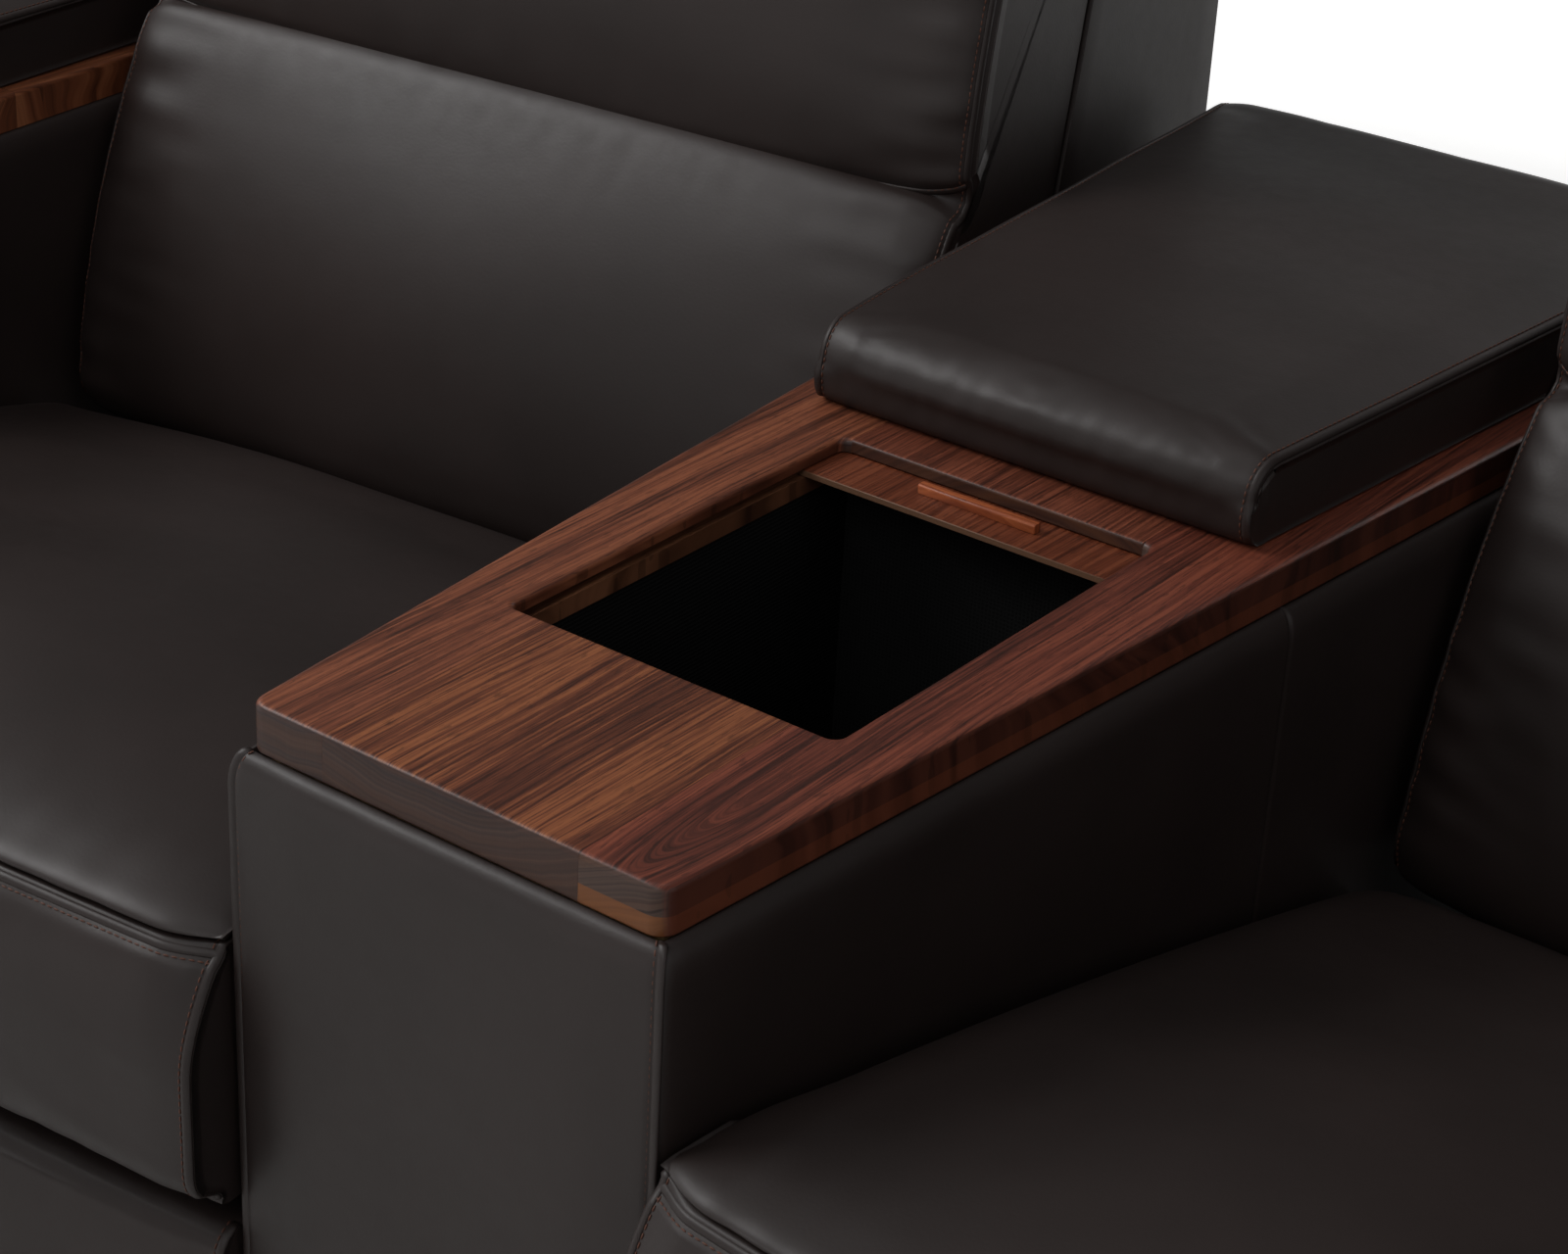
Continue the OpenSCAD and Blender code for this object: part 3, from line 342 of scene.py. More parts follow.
def walnut(name, seed=0.0, tones=RAIL_TONES, turn=0.0, strip=0.0, figure=None, ends="#43342e",
           ring=(0.0, 0.0), lower=None):
    """American black walnut, planed, sanded and satin lacquered: fine streaks and dark growth lines drawn out
    along the grain, open pores, and grey-brown end grain with rings about ring, (x, z) from the top's face.

    turn is the grain's angle from front to back. strip is the width of glued strips, each with its own tone.
    figure is the place (x, y) where the growth lines close in long arches. lower is the height and the two
    colours of a second layer glued under the first."""
    m = Nodes(name)
    split = m.add("SeparateXYZ", [m.add("Mapping", {"Vector": m.place, "Rotation": (0, 0, turn)})]).outputs
    x, y = split["X"], split["Y"]
    # Slow bends of the grain, 8 mm to either side over some 300 mm
    slow = m.add("Mapping", {"Vector": m.place, "Rotation": (0, 0, turn), "Scale": (1.0, 0.3, 1.0),
                             "Location": (seed, seed, seed)})
    bend = m.add("TexNoise", [slow, 1 / 0.09, 2.0, 0.4])
    x = m.add("Math", [bend, 0.016, x], operation="MULTIPLY_ADD")
    if figure:
        ahead = m.add("Math", [figure[1], y], operation="SUBTRACT")
        ahead = m.add("Math", [ahead, 0.0], operation="MAXIMUM")
        ahead = m.add("Math", [ahead, 0.14], operation="MULTIPLY")
        aside = m.add("Math", [x, figure[0] + 0.008], operation="SUBTRACT")
        x = m.add("VectorMath", [m.add("CombineXYZ", [ahead, aside])], operation="LENGTH")
    if strip:
        number = m.add("Math", [split["X"], strip], operation="DIVIDE")
        number = m.add("Math", [number], operation="FLOOR")
        number = m.add("Math", [number, seed * 9], operation="ADD")
        chance = m.add("TexWhiteNoise", [number], noise_dimensions="1D")
        x = m.add("Math", [x, chance], operation="ADD")
    grain = m.add("CombineXYZ", [x, m.add("Math", [y, 0.015], operation="MULTIPLY"), seed])
    # Streaks 3.6 mm wide in bands of 24 mm, fibres 1.5 mm wide and growth lines some 6 mm apart
    streak = m.add("TexNoise", [grain, 1 / 0.0036, 4.0, 0.65])
    broad = m.add("TexNoise", [grain, 1 / 0.024, 2.0])
    fibre = m.add("TexNoise", [grain, 1 / 0.0015, 3.0, 0.7])
    growth = m.add("TexNoise", [grain, 1 / 0.0110, 1.0])
    wave = m.add("Math", [m.add("Math", [growth, 7.0], operation="MULTIPLY"), 0.5], operation="PINGPONG")
    line = m.add("Math", [wave, -2.0, 1.0], operation="MULTIPLY_ADD")
    line = m.add("Math", [line, 7.0], operation="POWER")
    tone = 0.0
    for part, weight in ((fibre, 0.85), (broad, 0.42), (streak, 0.48), (line, -0.08 if figure else -0.13)):
        tone = m.add("Math", [part, weight, tone], operation="MULTIPLY_ADD")
    if strip:
        chance = m.add("Math", [chance, 0.5], operation="SUBTRACT")
        tone = m.add("Math", [chance, 0.11, tone], operation="MULTIPLY_ADD")
    colour = m.add("ValToRGB", [tone], list(zip((0.70, 0.87, 1.0), tones)))
    # Pores: dark dashes 0.5 mm wide and some 9 mm long
    pore = m.add("TexNoise", [m.add("Mapping", {"Vector": grain, "Scale": (1.0, 5.0, 1.0)}), 1 / 0.0010, 1.0])
    dash = m.add("Math", [pore, 0.63], operation="GREATER_THAN")
    dash = m.add("Math", [dash, 0.40], operation="MULTIPLY")
    colour = m.add("Mix", [dash, colour, "#20130e"], data_type="RGBA")
    if ends:
        facing = m.add("SeparateXYZ", [m.add("NewGeometry").outputs["Normal"]]).outputs
        spot = m.add("SeparateXYZ", [m.place]).outputs
        dx = m.add("Math", [spot["X"], ring[0]], operation="SUBTRACT")
        dz = m.add("Math", [spot["Z"], ARM_H + ring[1]], operation="SUBTRACT")
        dz = m.add("Math", [dz, 1.5], operation="MULTIPLY")
        radius = m.add("VectorMath", [m.add("CombineXYZ", [dx, dz])], operation="LENGTH")
        soft = m.add("TexNoise", [m.place, 1 / 0.030, 2.0])
        radius = m.add("Math", [soft, 0.010, radius], operation="MULTIPLY_ADD")
        rings = m.add("CombineXYZ", {"X": radius, "Z": seed})
        band = m.add("TexNoise", [rings, 1 / 0.0035, 3.0, 0.6])
        end = m.add("ValToRGB", [band], [(0.30, "#261b19"), (0.52, ends), (0.76, "#4d3830")])
        tint = m.add("Math", [m.add("TexNoise", [rings, 1 / 0.016]), 0.46], operation="SUBTRACT")
        tint = m.add("Math", [tint, 2.4], operation="MULTIPLY")
        end = m.add("Mix", [tint, end, "#5c3a26"], data_type="RGBA")
        if lower:
            under = m.add("Math", [spot["Z"], lower[0]], operation="LESS_THAN")
            second = m.add("Mix", [band, lower[1], lower[2]], data_type="RGBA")
            end = m.add("Mix", [under, end, second], data_type="RGBA")
            layer = m.add("Mix", [under, "#2e1b15", "#5f3320"], data_type="RGBA")
            edge = m.add("Math", [facing["X"]], operation="ABSOLUTE")
            edge = m.add("Math", [edge, 0.75], operation="GREATER_THAN")
            edge = m.add("Math", [edge, 0.65], operation="MULTIPLY")
            colour = m.add("Mix", [edge, colour, layer], data_type="RGBA")
        cut = m.add("MapRange", [m.add("Math", [facing["Y"]], operation="ABSOLUTE"), 0.55, 0.8])
        colour = m.add("Mix", [cut, colour, end], data_type="RGBA")
    rough = m.add("Math", [fibre, 0.22, 0.30], operation="MULTIPLY_ADD")
    height = m.add("Math", [pore, -0.5, fibre], operation="MULTIPLY_ADD")
    bump = m.add("Bump", {"Height": height, "Distance": 0.00015, "Strength": 0.22})
    return m.finish({"Base Color": colour, "Roughness": rough, "Normal": bump, "IOR": 1.5,
                     "Specular IOR Level": 0.28, "Coat Weight": 0.05, "Coat Roughness": 0.2})


def plain(name, colour, roughness, metallic=0.0, grit=0.003, depth=0.0002):
    """One finish with a faint mottle and texture of the given grit."""
    m = Nodes(name)
    noise = m.add("TexNoise", [m.place, 1 / grit, 3.0])
    bump = m.add("Bump", {"Height": noise, "Distance": depth, "Strength": 0.3})
    rough = m.add("Math", [noise, 0.16, roughness - 0.08], operation="MULTIPLY_ADD")
    dark = (*(0.82 * c for c in linear(colour)[:3]), 1.0)
    mottled = m.add("Mix", [noise, colour, dark], data_type="RGBA")
    return m.finish({"Base Color": mottled, "Roughness": rough, "Normal": bump, "Metallic": metallic})


def plywood():
    """Birch plywood with pale long-grain faces, and black dust-cover cloth over its lowest 20 mm."""
    m = Nodes("birch_plywood")
    drawn = m.add("Mapping", {"Vector": m.place, "Scale": (1.0, 0.08, 0.08)})
    fibre = m.add("TexNoise", [drawn, 1 / 0.004, 4.0])
    colour = m.add("ValToRGB", [fibre], [(0.3, "#a8845a"), (0.7, "#c9a878")])
    height = m.add("SeparateXYZ", [m.place]).outputs["Z"]
    cloth = m.add("Math", [height, FOOT_Z + 0.020], operation="LESS_THAN")
    colour = m.add("Mix", [cloth, colour, "#101010"], data_type="RGBA")
    return m.finish({"Base Color": colour, "Roughness": 0.65})


LEATHER = leather()
THREAD = plain("bonded_polyester_thread", "#57301f", 0.6, grit=0.001)
LINING = lining()
STEEL = plain("powder_coated_steel", "#1d1d1f", 0.5, grit=0.0015, depth=0.0001)
SPRING = plain("drawn_spring_wire", "#8d8f92", 0.35, metallic=1.0)
SWITCH = plain("brushed_zinc_plate", "#8a8a8c", 0.35, metallic=1.0, grit=0.0008)
PLASTIC = plain("moulded_abs", "#141415", 0.55, grit=0.0012)
PLY = plywood()
EDGE_PLY = plain("sanded_plywood_edge", "#6a4a34", 0.6, grit=0.0012)
PULL_WOOD = walnut("oiled_cherry_pull", 0.9, ("#7a3b23", "#a05531", "#b4683f"), math.pi / 2, ends=None)


def dress_nodes():
    """CAD nodes whose shape is right get their finish."""
    looks = {
        "storage_bin": LINING, "feet": PLASTIC, "console_frame": PLY, "console_pad_board": PLY,
        "lid_runners": walnut("walnut_runner", 0.7, ("#452a1d", "#6e4630", "#8a5b40"), ends=None),
    }
    seat_looks = {
        "base_frame": STEEL, "back_frame": STEEL, "legrest_brackets": STEEL, "drive_tube": STEEL,
        "drive_links": STEEL, "seat_springs": SPRING, "switch_plate": SWITCH, "back_button": PLASTIC,
        "legrest_button": PLASTIC, "motors": PLASTIC, "arm_frame": PLY, "seat_frame": LINING,
        "legrest_board": LINING,
    }
    looks |= {f"{word}_{name}": material for word in SIDES for name, material in seat_looks.items()}
    for name, material in looks.items():
        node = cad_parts[name]
        node.data.materials.clear()
        node.data.materials.append(material)


# Walnut boards

def between(low, high):
    """Four-cornered faces between two rows of point numbers."""
    return np.stack([low[:-1], low[1:], high[1:], high[:-1]], -1).tolist()


def board(name, outline, low, high, rounded, material, replaced, body="base", radius=0.0032, mirrored=False,
          place=in_row, turned=False, step=None):
    """A board from its plan outline, counter-clockwise, between two heights. The top edges numbered in rounded
    get a round-over, and the lower edges under them a smaller one.

    step is (height, count, run): below that height, the outline keeps its first count points and then follows
    run."""
    outline = np.asarray(outline, float)
    n = len(outline)
    level, count, run = step or (low, n, [])
    run = np.asarray(run, float).reshape(-1, 2)
    if mirrored:
        outline, run = outline * np.array([-1.0, 1.0]), run * np.array([-1.0, 1.0])
    at = lambda points, z: np.c_[points, np.full(len(points), z)]
    top = np.arange(n)
    foot = n + np.arange(count)
    points = [at(outline, high), at(outline[:count], low)]
    faces = [top.tolist()]
    if step:
        over = n + count + np.arange(n - count + 2)
        foot_run = over[-1] + 1 + np.arange(len(run))
        level_run = foot_run + len(run)
        lip = np.concatenate([outline[count - 1:], outline[:1]])
        points += [at(lip, level), at(run, low), at(run, level)]
        faces += between(over, np.r_[top[count - 1:], 0])
        faces += between(np.r_[foot[-1], foot_run, foot[0]], np.r_[over[0], level_run, over[-1]])
        faces += [np.r_[over, level_run[::-1]].tolist()[::-1], np.r_[foot, foot_run].tolist()[::-1]]
        walls = between(foot, top[:count])
        walls[-1].insert(2, over[0])
        walls[0].append(over[-1])
        faces += walls
    else:
        faces.append(foot.tolist()[::-1])
        faces += between(np.r_[foot, foot[0]], np.r_[top, 0])
    piece = make_piece(name, place(np.concatenate(points)), faces, body, material, replaced,
                       mirrored or turned)
    weights = {frozenset((n + k, n + k + 1)): 0.4 for k in rounded if k < count - 1}
    weights |= {frozenset((k, (k + 1) % n)): 1.0 for k in rounded}
    weight = piece.data.attributes.new("bevel_weight_edge", "FLOAT", "EDGE")
    weight.data.foreach_set("value", [weights.get(frozenset(e.vertices), 0.0) for e in piece.data.edges])
    bevel = piece.modifiers.new("round_over", "BEVEL")
    bevel.limit_method = "WEIGHT"
    bevel.width = radius
    bevel.segments = 5
    smooth_by_angle(piece)
    return piece


def smooth_by_angle(piece, angle=math.radians(28)):
    """Marks edges sharper than the angle, so that flat faces stay flat."""
    mesh = bmesh.new()
    mesh.from_mesh(piece.data)
    for edge in mesh.edges:
        edge.smooth = len(edge.link_faces) == 2 and edge.calc_face_angle(0.0) < angle
    mesh.to_mesh(piece.data)
    mesh.free()


def walnut_top():
    """The console's top, with its grain from front to back: two tapered rails with the lid's groove under
    their lips, the front boards, a cross rail and the rear board."""
    r, fit = 0.010, 0.0001
    cx = TOP_W / 2 + r * math.tan(WEDGE) - r / math.cos(WEDGE)
    rear_x = OPENING_X - OPENING_R
    shared = chain((rear_x, OPENING_Y), (RAIL_X, OPENING_Y), (RAIL_X, 0.0),
                   arc(cx, r, r, -90, -math.degrees(WEDGE), 8), (half_w(CONSOLE_L), CONSOLE_L),
                   (rear_x, CONSOLE_L), (rear_x, GROOVE_END))
    lip = chain(arc(rear_x, OPENING_END - OPENING_R, OPENING_R, 90, 0, 7),
                arc(rear_x, OPENING_Y + OPENING_R, OPENING_R, 0, -90, 7)[:-1])
    outline = np.concatenate([shared, lip])
    count = len(shared)
    run = [(GROOVE_X, GROOVE_END), (GROOVE_X, OPENING_Y)]
    rounded = [k for k in range(len(outline)) if k not in (1, count - 2, count - 1)]
    looks = {
        "right": dict(seed=0.31, tones=("#3b1e17", "#673427", "#814532"), figure=(0.100, 0.090 + ROW_Y),
                      lower=(ARM_H - 0.0148, "#643b20", "#8a5630"), ends="#523f37", ring=(0.16, -0.09)),
        "left": dict(seed=0.83, tones=("#3e2218", "#6b3b29", "#8b5238"), ends="#352725",
                     ring=(-0.105, 0.045)),
    }
    for word, side in SIDES.items():
        board(f"top_{word}_rail_piece", outline, SLAB_Z, ARM_H, rounded,
              walnut(f"walnut_{word}_rail", **looks[word]), (f"top_{word}_rail",), mirrored=side < 0,
              step=(LIP_Z, count, run))
    x = RAIL_X - fit
    front = [(-x, 0.0), (x, 0.0), (x, OPENING_Y), (-x, OPENING_Y)]
    board("top_front_boards_piece", front, SLAB_Z, ARM_H, [0, 2],
          walnut("walnut_front_boards", 0.12, STRIPE_TONES, strip=0.0215, ends="#342624",
                 ring=(-0.02, 0.075)), ("top_front_boards",))
    x = rear_x - fit
    cross = [(-x, OPENING_END), (x, OPENING_END), (x, CROSS_END), (-x, CROSS_END)]
    board("top_cross_rail_piece", cross, LIP_Z, ARM_H, [0],
          walnut("walnut_cross_rail", 0.55, ends="#3e261e", ring=(0.03, -0.06)), ("top_cross_rail",),
          radius=0.0018)
    behind = CROSS_END + 2 * fit
    rear = [(x, GROOVE_END), (x, CONSOLE_L), (-x, CONSOLE_L), (-x, GROOVE_END), (-x, behind), (x, behind)]
    board("top_rear_board_piece", rear, SLAB_Z, ARM_H, [1], walnut("walnut_rear_board", 0.4),
          ("top_rear_board",), step=(LIP_Z, 4, []))


def arm_tops():
    """The end arms' walnut: a front board with rounded corners, butted to a rear board under the pad."""
    u0, u1, joint, r = 0.663, 0.813, 0.542, 0.010
    front = chain(arc(u0 + r, r, r, 180, 270, 8), arc(u1 - r, r, r, -90, 0, 8), (u1, joint), (u0, joint))
    rounded = [k for k in range(len(front)) if k != len(front) - 2]
    rear = [(u0, joint + 0.0002), (u1, joint + 0.0002), (u1, CONSOLE_L), (u0, CONSOLE_L)]
    tones = ("#472618", "#7a452c", "#9a6040")
    for word, place, mirrored in seats():
        for name, outline, edges, seed, shift in (("arm", front, rounded, 0.21, 0.4),
                                                  ("arm_rear", rear, [1, 2, 3], 0.67, 0.3)):
            node = f"{word}_{name.replace('arm', 'arm_top')}"
            board(f"{node}_piece", outline, SLAB_Z, ARM_H, edges,
                  walnut(f"walnut_{word}_{name}", seed + shift * SIDES[word], tones), (node,), place=place,
                  turned=mirrored)


def storage_lid():
    """The sliding lid, veneered plywood with a bare front edge, and its finger pull: a bar with rounded top
    edges and a slight foot, that narrows to 0.82 of its section over the last 0.7 mm at either end."""
    low, high = (np.array(q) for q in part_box("storage_lid"))
    x, y0, y1 = high[0], low[1] - ROW_Y, high[1] - ROW_Y
    lid = board("storage_lid_piece", [(-x, y0), (x, y0), (x, y1), (-x, y1)], low[2], high[2], [0, 1, 2, 3],
                walnut("walnut_veneer", 0.47, ("#421d10", "#62301d", "#763f28"), ends=None), ("storage_lid",),
                "lid", radius=0.0005)
    lid.data.materials.append(EDGE_PLY)
    for face in lid.data.polygons:
        if face.normal.y < -0.9:
            face.material_index = 1
    low, high = (np.array(q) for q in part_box("lid_pull"))
    v0, v1, r, tip = low[1] - ROW_Y, high[1] - ROW_Y, 0.0016, 0.0007
    shape = chain((v0, low[2]), arc(v0 + r, high[2] - r, r, 180, 90, 6),
                  arc(v1 - r, high[2] - r, r, 90, 0, 6), (v1, low[2]))
    inwards = np.sign((v0 + v1) / 2 - shape[:, 0])
    shape[:, 0] += 0.0005 * np.exp(-(((shape[:, 1] - low[2]) / MM) ** 2)) * inwards
    mid = shape.mean(0)
    x = np.array([low[0], low[0] + tip, 0.0, high[0] - tip, high[0]])
    rings = mid + (shape - mid)[None] * np.array([0.82, 1.0, 1.0, 1.0, 0.82])[:, None, None]
    rings[..., 1] = np.where(shape[None, :, 1] < low[2] + 1e-6, low[2], rings[..., 1])
    x = np.broadcast_to(x[:, None, None], (len(x), len(shape), 1))
    points, faces = tube(np.concatenate([x, rings], -1))
    pull = make_piece("lid_pull_piece", in_row(points), faces, "lid", PULL_WOOD, ("lid_pull",))
    smooth_by_angle(pull, math.radians(50))


# Padded forms

def rumple(points, size, seed, waves=14):
    """A gentle uneven wave of about -1 to 1: sines along random directions, about size apart."""
    rng = np.random.default_rng(seed)
    way = rng.normal(size=(waves, points.shape[-1]))
    way /= np.linalg.norm(way, axis=1, keepdims=True)
    pace = 2 * math.pi / size * rng.uniform(0.6, 1.5, waves)
    phase = rng.uniform(0, 2 * math.pi, waves)
    return np.sin(points @ (way * pace[:, None]).T + phase).sum(-1) / math.sqrt(waves * 1.6)


def outline_of(first, second, n, dense, width, gain):
    """Two runs of n points that share both ends, turned to metres, and the closed outline that they make."""
    a = resample(first, n, dense, width, gain) * MM
    b = resample(second, n) * MM
    return a, b, np.concatenate([a, b[-2:0:-1]])


def padded_grid(a, b, left, right, deep, wide, crown, rows, step, edge=()):
    """Points and faces of a padded form, from an outline of two runs, a and b, that share both ends. Also the
    table of its points' numbers, column by column, and the columns' distances from a side.

    The outline is carried from the left side to the right. Point k is moved in by deep[k] times a quarter
    ellipse over the distance wide from either side, and out by crown[k] (1 - |s|^2.2) across the span, s from
    -1 to 1.
    Each side is closed by a gusset: straight rows between run a and run b.
    """
    n = len(a)
    ring = np.concatenate([a, b[-2:0:-1]])
    m = len(ring)
    area = np.sum(ring[:, 0] * np.roll(ring[:, 1], -1) - ring[:, 1] * np.roll(ring[:, 0], -1))
    normal = outward(ring) * (1 if area > 0 else -1)
    left, right, deep, crown = (np.broadcast_to(np.asarray(q, float), m) for q in (left, right, deep, crown))
    near = np.unique(np.r_[0.0, edge, wide * np.sin(np.linspace(0, math.pi / 2, 7)) ** 1.6, wide])
    span = float(np.mean(right - left))
    count = max(int((span - 2 * wide) / step), 4)
    t = np.linspace(0, 1, count + 1)[1:-1]
    inner = left[None] + wide + t[:, None] * (right - left - 2 * wide)[None]
    u = np.concatenate([left[None] + near[:, None], inner, (right[None] - near[::-1, None])])
    gap = np.concatenate([near, np.full(len(t), wide), near[::-1]])
    s = 2 * (u - left) / (right - left) - 1
    fall = 1 - np.sqrt(np.clip(1 - (1 - gap / wide) ** 2, 0, 1))
    out = crown[None] * (1 - np.abs(s) ** 2.2) - deep[None] * fall[:, None]
    body = np.concatenate([u[..., None], ring[None] + normal[None] * out[..., None]], -1)
    ids = np.arange(len(u) * m).reshape(len(u), m)
    faces = quads(np.concatenate([ids, ids[:, :1]], 1)).tolist()
    points = [body.reshape(-1, 3)]
    start = ids.size
    f = np.linspace(0, 1, rows + 1)[1:-1, None, None]
    for j, far in ((0, False), (len(u) - 1, True)):
        low_ids = ids[j, n:][::-1]
        top, low = points[0][ids[j, 1:n - 1]], points[0][low_ids]
        middle = top[None] + f * (low - top)[None]
        points.append(middle.reshape(-1, 3))
        middle_ids = start + np.arange(middle.shape[0] * middle.shape[1]).reshape(middle.shape[:2])
        start += middle_ids.size
        table = np.concatenate([ids[j, None, 1:n - 1], middle_ids, low_ids[None]])
        faces += quads(table, far).tolist()
        for end, col in ((ids[j, 0], table[:, 0]), (ids[j, n - 1], table[::-1, -1])):
            fan = np.stack([np.full(rows, end), col[1:], col[:-1]], -1)
            faces += (fan[:, ::-1] if far else fan).tolist()
    points = np.concatenate(points)
    return points, outside_out(points, faces), ids, near


def evaluated(item):
    """Points and faces of an object with its modifiers worked out. The object and its mesh are removed."""
    result = item.evaluated_get(bpy.context.evaluated_depsgraph_get())
    mesh = result.to_mesh()
    points = np.empty(len(mesh.vertices) * 3)
    mesh.vertices.foreach_get("co", points)
    corners = np.empty(len(mesh.loops), int)
    mesh.loops.foreach_get("vertex_index", corners)
    sizes = np.empty(len(mesh.polygons), int)
    mesh.polygons.foreach_get("loop_total", sizes)
    faces = [f.tolist() for f in np.split(corners, np.cumsum(sizes)[:-1])]
    result.to_mesh_clear()
    mesh = item.data
    bpy.data.objects.remove(item)
    bpy.data.meshes.remove(mesh)
    return points.reshape(-1, 3), faces


def stuff(points, faces, held, cap, frames=20):
    """Blender's cloth, blown up from inside without gravity. Held points stay, and none moves beyond cap."""
    item = bare_object("stuffing", points, faces)
    group = item.vertex_groups.new(name="held")
    for level in range(1, 9):
        some = np.flatnonzero(np.round(held * 8) == level)
        if len(some):
            group.add(some.tolist(), level / 8, "REPLACE")
    cloth = item.modifiers.new("cloth", "CLOTH")
    settings = cloth.settings
    settings.quality = 6
    settings.mass = 0.25
    settings.tension_stiffness = settings.compression_stiffness = 18.0
    settings.shear_stiffness = 9.0
    settings.bending_stiffness = 0.6
    settings.use_pressure = True
    settings.uniform_pressure_force = 4.0
    settings.vertex_group_mass = "held"
    settings.effector_weights.gravity = 0.0
    cloth.collision_settings.use_collision = False
    cloth.point_cache.frame_start, cloth.point_cache.frame_end = 1, frames
    scene = bpy.context.scene
    for number in range(1, frames + 1):
        scene.frame_set(number)
    settled, _ = evaluated(item)
    scene.frame_set(1)
    move = settled - points
    size = np.linalg.norm(move, axis=1, keepdims=True)
    return points + move * np.minimum(1.0, cap / np.maximum(size, 1e-9))


def stuffed(points, faces, ids, free, cap, power=0.35):
    """A padded form blown up where its outline is free, less towards both sides, and then subdivided once by
    Catmull and Clark. The first points are the old ones, moved to the smoother surface."""
    across = np.sin(math.pi * np.linspace(0, 1, len(ids))) ** power
    held = np.ones(len(points))
    held[:ids.size] = 1 - (across[:, None] * free[None]).ravel()
    item = bare_object("refining", stuff(points, faces, held, cap), faces)
    subdivision = item.modifiers.new("subdivision", "SUBSURF")
    subdivision.levels = subdivision.render_levels = 1
    return evaluated(item)


def mesh_normals(points, faces):
    """Unit normals of a mesh's points, the mean of their four-cornered faces' normals."""
    f = np.array([q if len(q) == 4 else [*q, q[-1]] for q in faces])
    p = points[f]
    n = np.cross(p[:, 2] - p[:, 0], p[:, 3] - p[:, 1])
    total = np.zeros_like(points)
    for k in range(4):
        np.add.at(total, f[:, k], n)
    return total / np.maximum(np.linalg.norm(total, axis=1, keepdims=True), 1e-12)


def trim(names, welts, stitches, body="base", place=in_row, turned=False):
    """Welts as one piece and rows of stitches as another."""
    for name, parts, material in zip(names, (welts, stitches), (LEATHER, THREAD)):
        points, faces = join(parts)
        make_piece(name, place(points), faces, body, material, (), turned)


def padded_piece(name, points, faces, body, replaced, parts, place=in_row, turned=False):
    """A padded leather piece with its welts and stitches.

    Each part is three rows of point numbers: at the seam, at the welt's middle and at the stitches."""
    piece = make_piece(name, place(points), faces, body, LEATHER, (replaced,), turned)
    if not parts:
        return
    normals = mesh_normals(points, faces)
    welts, stitches = [], []
    for seam, middle, sewn in parts:
        across = unit(points[sewn] - points[seam])
        n = normals[middle]
        n = unit(n - across * np.sum(n * across, axis=1, keepdims=True))
        welts.append(welt(points[middle] - 0.0002 * n, n, across))
        stitches.append(stitch_row(points[sewn], normals[sewn]))
    trim((f"{name}_welt", f"{name}_stitches"), welts, stitches, body, place, turned)


def both_sides(name, points, faces, body, replaced, parts, seed, puckers):
    """A padded piece of the right seat and its mirror image for the left, each with puckers of its own."""
    for word, place, mirrored in seats():
        padded_piece(f"{word}_{name}", puckers(points, seed + mirrored), faces,
                     body if body == "base" else f"{word}_{body}", f"{word}_{replaced}", parts, place,
                     mirrored)


EDGE_ROWS = (0.0012, 0.0028, 0.0044, 0.0058, 0.0075)


def side_rows(ids, near, along):
    """Point numbers beside both gussets, at the seam, the welt and the stitches, for outline points along."""
    rows = [int(np.argmin(np.abs(near - g))) for g in (0.0, 0.0028, 0.0058)]
    last = len(ids) - 1
    return [tuple(ids[r, along] for r in rows), tuple(ids[last - r, along] for r in rows)]


def round_corners(points, inset, share):
    """Rounds the front corners in plan: the ends of the front lie 9 mm further back, where share is 1."""
    points[:, 1] += 0.009 * share * (1 - smooth_step(from_side(points, inset) / 0.034)) ** 1.5


